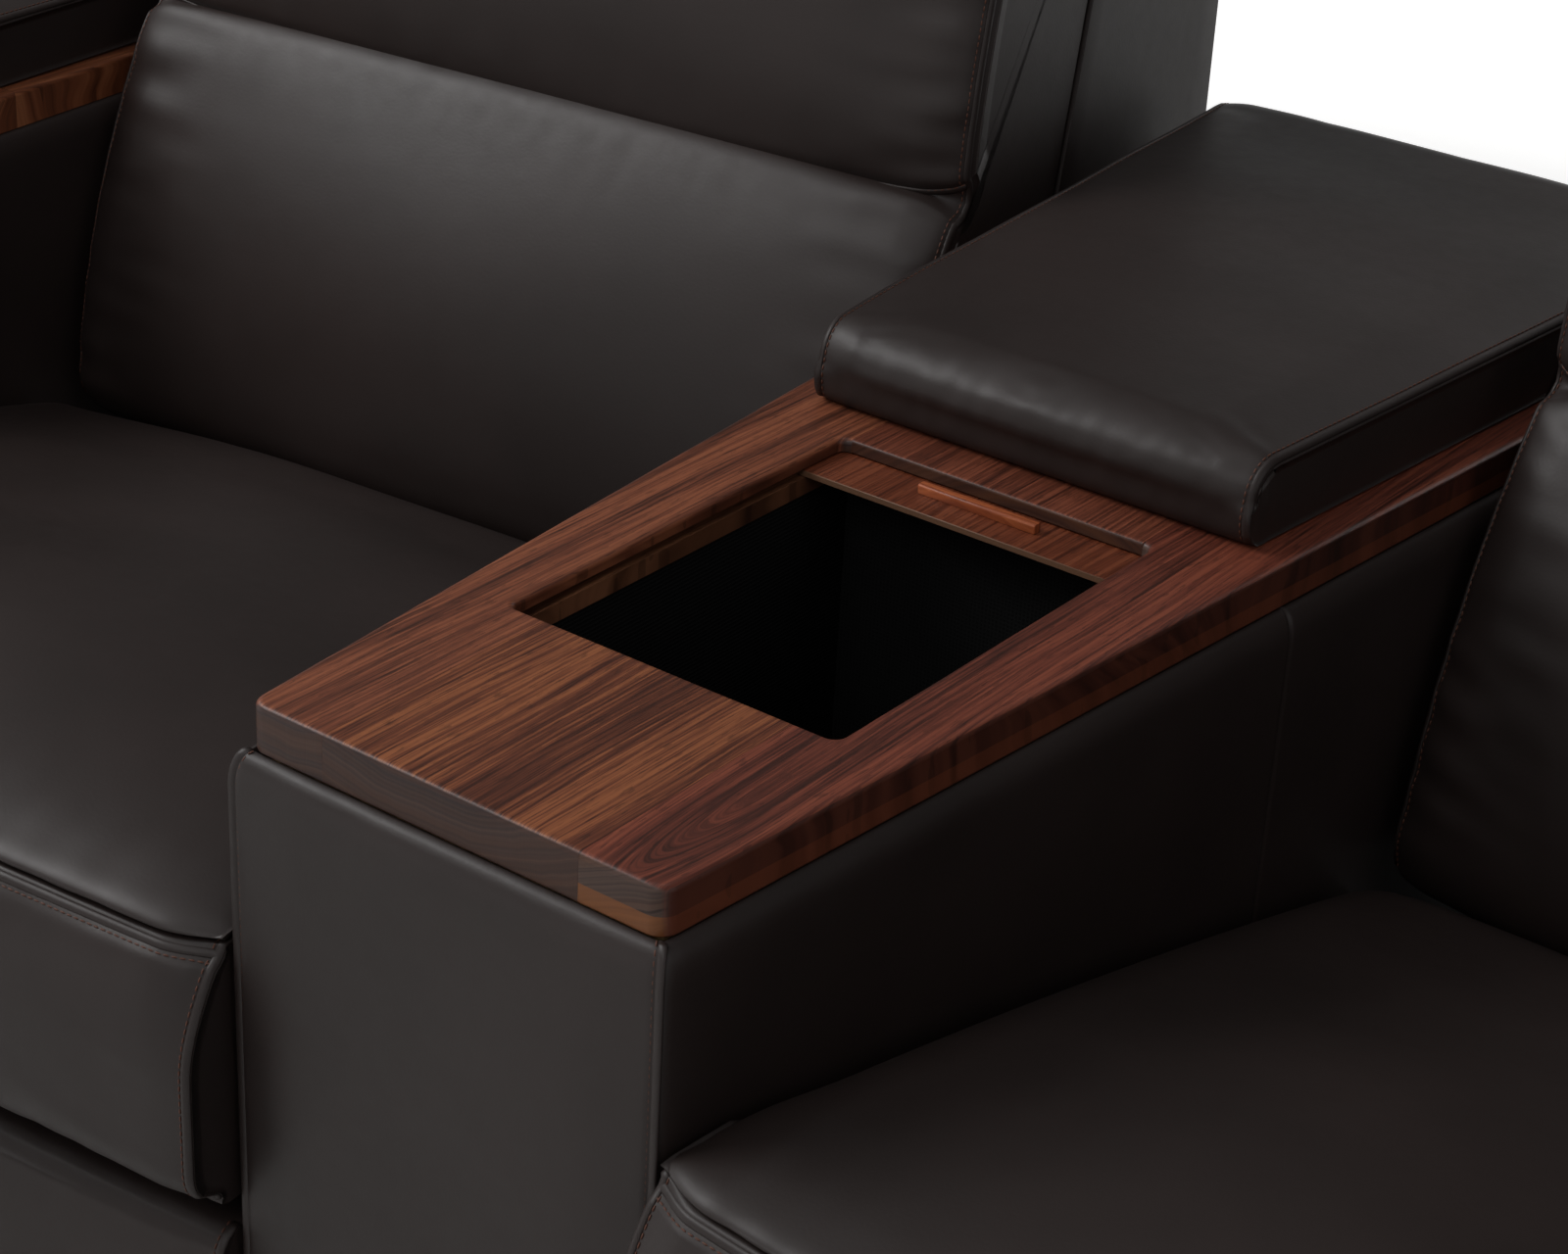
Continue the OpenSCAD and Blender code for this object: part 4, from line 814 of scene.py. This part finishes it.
def seat_cushions():
    """Seat cushions: a crowned top that rolls over the nose to the front seam, rounded sides, a flat base.

    The top drops by t tan(6.8 deg) + 0.00017 t^2 at t millimetres behind the nose."""
    hinge, y0, y1, under, inset = -20.0, 40.0, 555.0, 461.0, 0.004

    def top(v):
        t = np.maximum(0.0, v - 60.0)
        return 474.0 - (t * math.tan(math.radians(6.8)) + 0.00017 * t * t)

    deck = lambda v: 350.3 - (v - y0) * math.tan(math.radians(6.0))
    v = np.linspace(42.0, y1 - 34.0, 30)
    mid_rear = (y1, 335.0)
    nose = arc(0, 0, 1.0, 180, 90, 14) * np.array([50.0, 13.0]) + np.array([hinge + 51.0, under])
    upper = chain(nose, np.stack([v, top(v)], -1), arc(y1 - 24, top(y1) - 24, 24, 85, 0, 7), mid_rear)
    lower = chain((hinge + 1, under), (y0, under), (y0, deck(y0)), (y1, deck(y1)), mid_rear)
    a, b, ring = outline_of(upper, lower, 84, [(hinge + 1, under)], 16.0, 3.0)
    on_top = (np.arange(len(ring)) < len(a) - 4).astype(float)
    back = ring[:, 0] * 1000 - hinge
    crown = 0.015 * on_top * np.clip(0.5 * np.clip(back / 50, 0, 1) ** 0.8 + 0.5 * (back - 50) / 72, 0, 1)
    roll = 0.003 + 0.008 * smooth_step(back / 36.0) + 0.012 * smooth_step((back - 36) / 90)
    waist = 4.0 * np.sin(math.pi * np.clip((ring[:, 0] * 1000 - y0) / (y1 - y0), 0, 1))
    left = (4.0 + waist) * MM
    points, faces, ids, _ = padded_grid(a, b, left, SEAT_W - left, np.where(on_top > 0, roll, 0.004), 0.038,
                                        crown, rows=6, step=0.010)
    round_corners(points, inset, smooth_step((0.030 - points[:, 1]) / 0.045))
    free = np.zeros(len(ring))
    free[6:70] = 1.0
    points, faces = stuffed(points, faces, ids, blurred(free, 6), 0.010, 0.4)

    def puckers(p, seed):
        n = mesh_normals(p, faces)
        upward = smooth_step(n[:, 2] * 2.0)
        broad = rumple(p[:, :2], 0.30, 31 + seed) * 0.0014 * upward * smooth_step(from_side(p, inset) / 0.06)
        front = smooth_step((0.05 - p[:, 1]) / 0.06) * smooth_step(upward + (p[:, 1] < 0.02))
        pull = rumple(p[:, :2] * (1, 0.15), 0.030, 41 + seed) * 0.00035 * front
        return p + n * (broad + pull)[:, None]

    both_sides("seat_cushion_piece", points, faces, "base", "seat_cushion", (), 1, puckers)


def leg_rest_pads():
    """Upper and lower leg-rest pads: bulging fronts between welted side seams. The upper one starts at the
    seat's seam, has rounded upper corners and ends in a hem."""
    y0, y1, inset = -20.0, 17.7, 0.003
    for word, z0, z1, r0, r1, bulge, power, seed in (("upper", 314.0, 459.7, 8.0, 5.0, 18.0, 0.55, 3),
                                                     ("lower", 60.0, 298.0, 10.0, 22.0, 11.0, 0.6, 5)):
        z = np.linspace(z1 - r1, z0 + r0, 30)[1:-1]
        t = (z1 - r1 - z) / (z1 - z0 - r0 - r1)
        rise = np.sin(math.pi / 2 * np.clip(t / 0.48, 0, 1)) ** power
        out = bulge * rise * (0.1 + 0.9 * np.sqrt(1 - np.clip((t - 0.85) / 0.15, 0, 1) ** 2))
        top_mid, low_mid = ((y0 + y1) / 2 + 6, z1), (y1 - 14, z0)
        front = chain(top_mid, (y0 + r1, z1), arc(y0 + r1, z1 - r1, r1, 95, 175, 5),
                      np.stack([y0 - out, z], -1), arc(y0 + r0, z0 + r0, r0, 185, 265, 5), (y0 + r0, z0),
                      low_mid)
        a, b, ring = outline_of(front, chain(top_mid, (y1, z1), (y1, z0), low_mid), 74,
                                [(y0 - 2, z1 - 5), (y0, z0 + 9)], 12.0, 3.0)
        face = (ring[:, 0] < (y0 + 2) * MM).astype(float)
        deep = np.where(face > 0, 0.0035, 0.0005)
        points, faces, ids, near = padded_grid(a, b, inset, SEAT_W - inset, deep, 0.030, 0.002 * face, rows=4,
                                               step=0.010, edge=EDGE_ROWS)
        if word == "upper":
            corner = smooth_step((points[:, 2] - (z1 - 60.0) * MM) / 0.060)
            round_corners(points, inset, corner * smooth_step((0.012 - points[:, 1]) / 0.03))
        points, faces = stuffed(points, faces, ids, blurred(face, 3) ** 2, 0.006)
        parts = side_rows(ids, near, [k for k in range(2, len(a) - 3) if a[k, 1] > (z0 + 4.0) * MM])
        if word == "upper":
            fore = np.flatnonzero(a[:, 0] < (y0 + 6) * MM)
            for heights in ((z1 - 2.0, z1 - 4.6, z1 - 7.4), (z0 + 2.0, z0 + 4.8, z0 + 7.8)):
                parts.append([ids[2:-2, fore[int(np.argmin(np.abs(a[fore, 1] - h * MM)))]] for h in heights])

        def puckers(p, number):
            n = mesh_normals(p, faces)
            edge = np.minimum(p[:, 2] - z0 * MM, z1 * MM - p[:, 2])
            shift = rumple(p[:, [0, 2]], 0.22, 61 + number) * 0.0012
            shift += (rumple(p[:, [0, 2]] * (1, 0.2), 0.028, 81 + number) * 0.0003
                      * smooth_step((0.045 - edge) / 0.045))
            inside = smooth_step(from_side(p, inset) / 0.012) * smooth_step(edge / 0.012)
            return p + n * (shift * smooth_step(-n[:, 1] * 2.0) * inside)[:, None]

        both_sides(f"{word}_legrest_pad_piece", points, faces, "legrest", "legrest_pads", parts, seed,
                   puckers)


def back_cushions():
    """Back cushions: a lower section and a head section that bulge to either side of a sewn channel."""
    tilt, z0, top, seam, inset = math.radians(17.9), 355.0, 1004.0, 636.0, 0.006
    rear = lambda z: 722.0 + (z - 320.0) * FRAME_SLOPE - 0.3
    face = lambda z: 566.0 + (z - z0) * math.tan(tilt)
    r_low, r_top = 22.0, 36.0
    z = np.r_[np.linspace(z0 + r_low + 6, seam - 1, 50), np.linspace(seam + 1, top - r_top - 4, 60)]
    low = z < seam
    share = np.where(low, (z - z0) / (seam - z0), (z - seam) / (top - seam))
    out = np.where(low, 24.0, 27.0) * np.abs(np.sin(math.pi * share)) ** np.where(low, 0.58, 0.70)
    out -= 7.0 * np.exp(-((z - seam) / 5.0) ** 2)
    front = np.stack([face(z), z], -1) + out[:, None] * np.array([-math.cos(tilt), math.sin(tilt)])
    mid, over = (rear(700.0), 700.0), (rear(top) - 12, top)
    whole = chain(mid, (rear(z0), z0), (face(z0) + r_low + 6, z0),
                  arc(face(z0) + r_low, z0 + r_low, r_low, 260, 190, 7), front,
                  arc(face(top - r_top) + r_top, top - r_top, r_top, 160, 92, 9), over)
    a, b, ring = outline_of(whole, chain(mid, (rear(top - 20), top - 20), over), 128,
                            [(face(seam) + 3, seam)], 14.0, 5.0)
    on_a = np.arange(len(ring)) < len(a)
    fore = on_a & (ring[:, 1] > (z0 + 4) * MM) & (ring[:, 0] < (rear(1000 * ring[:, 1]) - 40) * MM)
    fore = blurred(fore.astype(float), 4)
    points, faces, ids, near = padded_grid(a, b, inset, SEAT_W - inset, 0.002 + 0.016 * fore, 0.032,
                                           0.013 * fore, rows=8, step=0.0105, edge=EDGE_ROWS)
    free = fore * np.where(on_a, smooth_step(np.abs(ring[:, 1] - seam * MM) / 0.016), 0.0)
    points, faces = stuffed(points, faces, ids, free, 0.010)
    parts = side_rows(ids, near, [k for k in range(len(a)) if fore[k] > 0.5])
    channel = [np.array([face(seam + q) + 4, seam + q]) * MM for q in (0.0, 3.4, 6.6)]
    parts.append([ids[3:-3, int(np.argmin(np.linalg.norm(a - spot, axis=1)))] for spot in channel])

    def puckers(p, number):
        n = mesh_normals(p, faces)
        side = from_side(p, inset)
        gap = np.abs(p[:, 2] - seam * MM)
        shift = rumple(p[:, [0, 2]], 0.32, 91 + number) * 0.0018 * smooth_step(gap / 0.05)
        shift += (rumple(p[:, [0, 2]] * (0.45, 2.0), 0.044, 101 + number) * 0.0010
                  * smooth_step((0.12 - side) / 0.11))
        shift += (rumple(p[:, [0, 2]] * (1, 0.25), 0.034, 111 + number) * 0.0003
                  * smooth_step((0.05 - gap) / 0.05) * smooth_step(gap / 0.008))
        return p + n * (shift * smooth_step(-n[:, 1] * 2.0) * smooth_step(side / 0.010))[:, None]

    both_sides("back_cushion_piece", points, faces, "back", "back_cushion", parts, 7, puckers)


def arm_pads():
    """The pads on the console and the end arms: rounded front and rear, welted side seams, flat gussets."""
    y0, y1, z0, z1 = 440.0, 953.0, 590.3, 639.0
    h = z1 - z0
    r, waist = h / 2 - 1, z0 + h * 0.42
    upper = chain((y0, waist), arc(y0 + r, z1 - r, r, 175, 90, 14), arc(y1 - r, z1 - r, r, 90, 5, 14),
                  (y1, waist))
    lower = chain((y0, waist), arc(y0 + 14, z0 + 12, 13, 175, 265, 7), (y0 + 20, z0), (y1 - 20, z0),
                  arc(y1 - 14, z0 + 12, 13, -85, -5, 7), (y1, waist))
    a, b, ring = outline_of(upper, lower, 92, [(y0 + 8, z1 - 8)], 22.0, 1.2)
    top = (ring[:, 1] > waist * MM).astype(float)
    side_at = half_w(ring[:, 0]) - 0.020 / math.cos(WEDGE)
    for word, left, right in (("console", -side_at, side_at), ("arm", 0.675, 0.801)):
        points, faces, ids, near = padded_grid(a, b, left, right, 0.0012 + 0.0055 * top, 0.026, 0.004 * top,
                                               rows=5, step=0.0075, edge=EDGE_ROWS)
        points, faces = stuffed(points, faces, ids, blurred(top, 3) ** 2, 0.0015)
        # The seam goes on down the front, to the board
        down = int(np.sum(b[1:30, 1] > (z0 + 2.5) * MM))
        parts = side_rows(ids, near, [*range(len(ring) - down, len(ring)), *range(len(a) - 2)])

        def puckers(p, number):
            n = mesh_normals(p, faces)
            corner = smooth_step((0.06 - (p[:, 1] - y0 * MM)) / 0.06)
            gusset = smooth_step((np.abs(n[:, 0]) - 0.7) * 4)
            shift = rumple(p[:, :2], 0.18, 121 + number) * 0.0006 * smooth_step((n[:, 2] - 0.1) * 2)
            shift += rumple(p * (1.6, 0.6, 1), 0.022, 131 + number) * 0.00025 * corner
            shift += rumple(p[:, 1:] * (1.5, 0.3), 0.016, 141 + number) * 0.0004 * gusset * corner
            return p + n * (shift * smooth_step((p[:, 2] - (z0 + 4) * MM) / 0.012))[:, None]

        if word == "console":
            padded_piece("console_pad_piece", puckers(points, 0), faces, "base", "console_pad", parts)
        else:
            both_sides("arm_pad_piece", points, faces, "base", "arm_pad", parts, 9, puckers)


# Upholstered panels

COVER_R = 0.0095    # corners in plan
ROLL = 0.0084       # how far the top edge rolls in
BULGE = 0.0030      # the front panel's stuffing
WAVE = 0.0007       # unevenness of the panels
WELT_HALF = 0.0028  # half width of the corner welts


def skin_profile(thick, steps, r=0.017):
    """(distance out, height): up the outside, over an edge rounded as a quarter ellipse, down the inside."""
    z0, z1 = FOOT_Z + 0.0003, SLAB_Z - 0.0004
    up = np.linspace(z0, z1 - r, steps)
    over = arc(0, 0, 1.0, 0, 90, 7) * np.array([ROLL, r]) + np.array([-ROLL, z1 - r])
    return np.concatenate([np.stack([np.zeros(steps), up], -1)[:-1], over, [(-thick, z1), (-thick, z0)]])


def rounded_path(corners, r, step, dense, gain, width=0.006):
    """A closed plan outline, counter-clockwise, with rounded corners, as points and unit normals outwards."""
    corners = np.asarray(corners, float)
    runs = []
    for i, c in enumerate(corners):
        before = corners[i - 1] - c
        after = corners[(i + 1) % len(corners)] - c
        before /= np.linalg.norm(before)
        after /= np.linalg.norm(after)
        half = math.acos(np.clip(before @ after, -1, 1)) / 2
        reach = r / math.tan(half)
        centre = c + (before + after) / np.linalg.norm(before + after) * r / math.sin(half)
        a0 = math.degrees(math.atan2(*(c + before * reach - centre)[::-1]))
        a1 = math.degrees(math.atan2(*(c + after * reach - centre)[::-1]))
        a1 += 360 * round((a0 + 90 - a1) / 360)
        runs.append(arc(*centre, r, a0, a1, 9))
    loop = chain(*runs, runs[0][:1])
    total = np.linalg.norm(np.diff(loop, axis=0), axis=1).sum()
    path = resample(loop, int(total / step) + 1, dense=dense, width=width, gain=gain)[:-1]
    return path, outward(path)


def facing(part):
    """1 where a unit normal's part is nearly 1, falling to 0 at 0.97."""
    return smooth_step((part - 0.97) * 40)[:, None]


def fullness(path, normal, profile, middle, reach, steep, sides, size, seed):
    """How far a skin's points stand out: up to BULGE at the middle of the front panel, and waves of WAVE on
    the front and, times sides, elsewhere. Also the points before that."""
    shape = (len(path), len(profile))
    height = np.clip((profile[:, 1] - FOOT_Z) / (SLAB_Z - FOOT_Z), 0, 1)
    across = np.clip(1 - np.abs(path[:, :1] - middle) / reach, 0, 1)
    front = facing(-normal[:, 1])
    bare = np.concatenate([np.broadcast_to(path[:, None], (*shape, 2)),
                           np.broadcast_to(profile[None, :, 1:], (*shape, 1))], -1)
    bulge = BULGE * front * smooth_step(across * steep) * (np.sin(math.pi * height) ** 0.5)[None]
    return bulge + WAVE * rumple(bare, size, seed) * (front + sides), bare


def panel_wrap(path, normal, profile, offset):
    """A thick skin round a closed path: each path point carries the closed profile, moved out by the offset
    except on its inside."""
    offset[:, -2:] = 0.0
    xy = path[:, None] + (profile[None, :, 0] + offset)[..., None] * normal[:, None]
    z = np.broadcast_to(profile[None, :, 1, None], (*xy.shape[:2], 1))
    return tube(np.concatenate([xy, z], -1), looped=True)


def corner_trims(path, normal, profile, points, places):
    """Welts and rows of stitches up the skin's two front corners and over its rounded edge. places are the
    corners' (x, y), left and right, and normal has the way the seam faces at each path point."""
    up = slice(0, len(profile) - 2)
    grid = points.reshape(len(path), len(profile), 3)
    tilt = np.clip(-profile[up, 0] / ROLL, 0, 1)[:, None]
    welts, stitches = [], []
    for place, s in zip(places, (-1, 1)):
        at = int(np.argmin(np.linalg.norm(path - np.array(place), axis=1)))
        column = grid[at, up] + np.array([place[0] - path[at, 0], 0.0, 0.0])
        n = np.array([*normal[at], 0.0]) * np.sqrt(1 - tilt ** 2) + np.array([0.0, 0.0, 1.0]) * tilt
        across = np.broadcast_to(np.array([1.0, 0.0, 0.0]), column.shape)
        welts.append(welt(column - 0.0003 * n, n, across, WELT_HALF, 0.0016))
        stitches.append(stitch_row(column + np.array([-s * 0.0034, 0, 0]) + 0.0004 * n, n))
    return welts, stitches


def console_upholstery():
    """The console's leather: four panels over one wedge, welts at the front corners, a seam on each side."""
    y0, y1, reach, seam_y = -PANEL_OUT, CONSOLE_L - 0.0003, PANEL_OUT - 0.0002, 0.446
    corners = [(-half_w(y0, reach), y0), (half_w(y0, reach), y0), (half_w(y1, reach), y1),
               (-half_w(y1, reach), y1)]
    seams = [(s * half_w(seam_y, reach), seam_y) for s in (-1, 1)]
    front = [(s * (half_w(y0, reach) - 0.003), y0) for s in (-1, 1)]
    path, normal = rounded_path(corners, COVER_R, 0.0115, seams + front, 14.0)
    profile = skin_profile(0.0088, 46)
    is_side = facing(np.abs(normal[:, 0]))
    offset, bare = fullness(path, normal, profile, 0.0, 0.122, 3.2, 0.5 * is_side, 0.20, 201)
    gap = np.minimum(*[np.linalg.norm(path - np.array(q), axis=1) for q in seams])[:, None]
    offset -= 0.0016 * np.exp(-((gap / 0.0014) ** 2))
    top_edge = smooth_step((profile[:, 1] - (SLAB_Z - 0.10)) / 0.09)[None]
    offset += (0.0003 * rumple(bare * (1, 1, 0.3), 0.030, 202) * top_edge
               * (facing(-normal[:, 1]) + is_side))
    points, faces = panel_wrap(path, normal, profile, offset)
    make_piece("console_upholstery", in_row(points), faces, "base", LEATHER,
               ("console_front_cover", "console_right_cover", "console_left_cover", "console_back_cover"))
    places = [(s * (half_w(y0, reach) - WELT_HALF), y0) for s in (-1, 1)]
    trim(("console_welts", "console_stitches"), *corner_trims(path, normal, profile, points, places))


def arm_upholstery():
    """An end arm's leather, with a pocket 11.8 mm deep for the switch behind its plate."""
    u0, u1, v0, v1 = 0.6552, 0.8208, -PANEL_OUT, CONSOLE_L - 0.0003
    corners = [(u0, v0), (u1, v0), (u1, v1), (u0, v1)]
    switch = [(u0, v) for v in (0.158, 0.228)]
    front = [(u, v0) for u in (u0 + 0.003, u1 - 0.003)]
    path, normal = rounded_path(corners, COVER_R, 0.013, switch + front, 9.0)
    profile = skin_profile(0.0132, 60)
    is_outer = facing(normal[:, 0])
    offset, _ = fullness(path, normal, profile, (u0 + u1) / 2, 0.080, 2.5, 0.8 * is_outer, 0.17, 211)
    switch_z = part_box("right_switch_plate")[0].z + 0.018
    pocket = ((normal[:, 0] < -0.99)[:, None] & (np.abs(path[:, 1:] - 0.193) < 0.034)
              & (np.abs(profile[None, :, 1] - switch_z) < 0.0135))
    points, faces = panel_wrap(path, normal, profile, np.where(pocket, -0.0118, offset))
    trims = corner_trims(path, np.broadcast_to([0.0, -1.0], path.shape), profile, points,
                         [(u0 + WELT_HALF, v0), (u1 - WELT_HALF, v0)])
    for word, place, mirrored in seats():
        make_piece(f"{word}_arm_upholstery", place(points), faces, "base", LEATHER, (f"{word}_arm_cover",),
                   mirrored)
        trim((f"{word}_arm_welts", f"{word}_arm_stitches"), *trims, "base", place, mirrored)


def back_shells():
    """The outer back: one skin 12 mm thick over the rear, the top and both sides, open in front and below.

    Its outline in (v, z) runs up the rear, over a rounded corner and along the top. Each side is closed by
    straight rows from it to the slanting front edge."""
    z0, top, rear, r, u0, u1 = 0.190, 1.000, 0.989, 0.045, 0.004, 0.651
    front = lambda z: 0.722 + (z - 0.320) * FRAME_SLOPE + 0.0015
    run = chain(np.stack([np.full(22, rear), np.linspace(z0, top - r, 22)], -1),
                arc(rear - r, top - r, r, 0, 90, 9),
                np.stack([np.linspace(rear - r, front(top), 6), np.full(6, top)], -1))
    n = len(run)
    seam = np.stack([front(np.linspace(z0, top, n)), np.linspace(z0, top, n)], -1)
    cols = np.r_[0.0, np.linspace(0.02, 0.98, 16), 1.0]
    strip = np.stack([np.concatenate([np.full((n, 1), u0 + (u1 - u0) * c), run], 1) for c in cols])
    rows = np.linspace(0, 1, 9)[1:]
    ids = np.arange(strip.shape[0] * n).reshape(-1, n)
    points, faces = [strip.reshape(-1, 3)], quads(ids).tolist()
    start = ids.size
    for col, u in ((0, u0), (-1, u1)):
        flat = run[None] + rows[:, None, None] * (seam - run)[None]
        points.append(np.concatenate([np.full((*flat.shape[:2], 1), u), flat], -1).reshape(-1, 3))
        table = np.concatenate([ids[None, col], start + np.arange(len(rows) * n).reshape(-1, n)])
        start += len(rows) * n
        table[:, -1] = ids[col, -1]
        faces += [list(dict.fromkeys(f)) for f in quads(table, col == 0).tolist() if len(set(f)) > 2]
    points = np.concatenate(points)
    for word, place, mirrored in seats():
        piece = make_piece(f"{word}_back_shell_piece", place(points), faces, f"{word}_back", LEATHER,
                           (f"{word}_back_shell",), mirrored)
        clean = bmesh.new()
        clean.from_mesh(piece.data)
        bmesh.ops.delete(clean, geom=[v for v in clean.verts if not v.link_faces], context="VERTS")
        bmesh.ops.remove_doubles(clean, verts=clean.verts, dist=1e-5)
        bmesh.ops.recalc_face_normals(clean, faces=clean.faces)
        rearmost = max(clean.faces, key=lambda f: f.calc_center_median().y)
        if rearmost.normal.y < 0:
            bmesh.ops.reverse_faces(clean, faces=clean.faces)
        clean.to_mesh(piece.data)
        clean.free()
        solid = piece.modifiers.new("wall", "SOLIDIFY")
        solid.thickness = 0.012
        solid.offset = -1.0
        bevel = piece.modifiers.new("rolled_edges", "BEVEL")
        bevel.width = 0.0055
        bevel.segments = 3
        bevel.limit_method = "ANGLE"
        bevel.angle_limit = math.radians(50)


# Camera and light

def stand(name, data, x, y, z, place):
    """A camera or lamp whose own axes are x, y and z, at its place."""
    item = bpy.data.objects.new(name, data)
    turned = Matrix(np.column_stack([x, y, z]).tolist()).to_4x4()
    turned.translation = place
    item.matrix_world = turned
    bpy.context.scene.collection.objects.link(item)
    return item


def camera():
    """The photo's view, from an azimuth of 36 degrees and an elevation of 27, rolled by 3 degrees."""
    azimuth, elevation, roll = (math.radians(q) for q in (35.95, 27.37, 3.14))
    ca, sa, ce, se = math.cos(azimuth), math.sin(azimuth), math.cos(elevation), math.sin(elevation)
    look = np.array([-sa * ce, ca * ce, -se])
    right = np.array([ca, sa, 0.0])
    up = np.cross(right, look)
    x = right * math.cos(roll) + up * math.sin(roll)
    y = -right * math.sin(roll) + up * math.cos(roll)
    data = bpy.data.cameras.new("camera")
    data.sensor_width = 36.0
    data.lens = 75.4
    place = (0.8227, -0.8962 + ROW_Y, 0.7135 + ARM_H)
    bpy.context.scene.camera = stand("camera", data, x, y, -look, place)


def lamp(name, place, aim, size, power):
    """A square softbox at place, turned to aim."""
    data = bpy.data.lights.new(name, "AREA")
    data.size = size
    data.energy = power
    back = np.array(place, float) - np.array(aim, float)
    back /= np.linalg.norm(back)
    x = np.cross([0.0, 0.0, 1.0], back)
    x /= np.linalg.norm(x)
    stand(name, data, x, np.cross(back, x), back, place)


def stage():
    """A pale floor that keeps the shadow and turns white from 1.6 to 2.9 m away, a white horizon with a dim
    ceiling for reflections, and six softboxes."""
    m = Nodes("matte_floor_paint")
    ray = m.add("LightPath").outputs
    seen = m.add("Math", [ray["Is Glossy Ray"], ray["Is Transmission Ray"]], operation="MAXIMUM")
    seen = m.add("Math", [ray["Is Camera Ray"], seen], operation="MAXIMUM")
    away = m.add("VectorMath", [m.place], operation="LENGTH")
    # Gloss sees the white 2 m further out than the eye
    away = m.add("Math", [ray["Is Glossy Ray"], -2.0, away], operation="MULTIPLY_ADD")
    far = m.add("MapRange", [away, 1.6, 2.9])
    glow = m.add("Math", [seen, far], operation="MULTIPLY")
    paint = m.finish({"Base Color": "#dddcda", "Roughness": 0.9, "Emission Color": "#ffffff",
                      "Emission Strength": glow})
    size = 30.0
    floor = bare_object("floor", [(-size, -size, 0), (size, -size, 0), (size, size, 0), (-size, size, 0)],
                        [(0, 1, 2, 3)])
    floor.data.materials.append(paint)
    world = bpy.data.worlds.new("studio")
    bpy.context.scene.world = world
    sky = Nodes("studio", world)
    ray = sky.add("LightPath").outputs
    up = sky.add("SeparateXYZ", [sky.place]).outputs["Z"]
    # Gloss sees white at the horizon and the dim ceiling from 12 degrees up
    low = sky.add("MapRange", [up, 0.0, 0.21, 1.0, 0.0])
    gloss = sky.add("Math", [ray["Is Glossy Ray"], low], operation="MULTIPLY")
    white = sky.add("Math", [ray["Is Camera Ray"], ray["Is Transmission Ray"]], operation="MAXIMUM")
    white = sky.add("Math", [white, gloss], operation="MAXIMUM")
    strength = sky.add("Math", [white, 0.84, 0.16], operation="MULTIPLY_ADD")
    sky.finish({"Color": "#ffffff", "Strength": strength})
    bpy.context.scene.view_settings.view_transform = "Standard"
    lamp("key", (-2.3, -1.5, 2.8), (-0.2, 0.0, 0.5), 1.4, 50.0)
    lamp("left", (-2.9, -0.5, 2.2), (-0.2, -0.2, 0.5), 1.4, 17.0)
    lamp("front", (0.2, -2.4, 2.3), (0.0, -0.2, 0.4), 1.4, 13.0)
    lamp("top", (-0.2, -0.2, 3.0), (0.1, 0.0, 0.5), 1.8, 7.0)
    lamp("side", (2.6, -0.4, 1.7), (0.0, 0.0, 0.5), 1.2, 4.0)
    lamp("back", (0.2, 3.2, 1.1), (0.0, 0.4, 0.6), 1.6, 9.0)


camera()
stage()
dress_nodes()
walnut_top()
storage_lid()
arm_tops()
console_upholstery()
arm_upholstery()
back_shells()
seat_cushions()
leg_rest_pads()
back_cushions()
arm_pads()
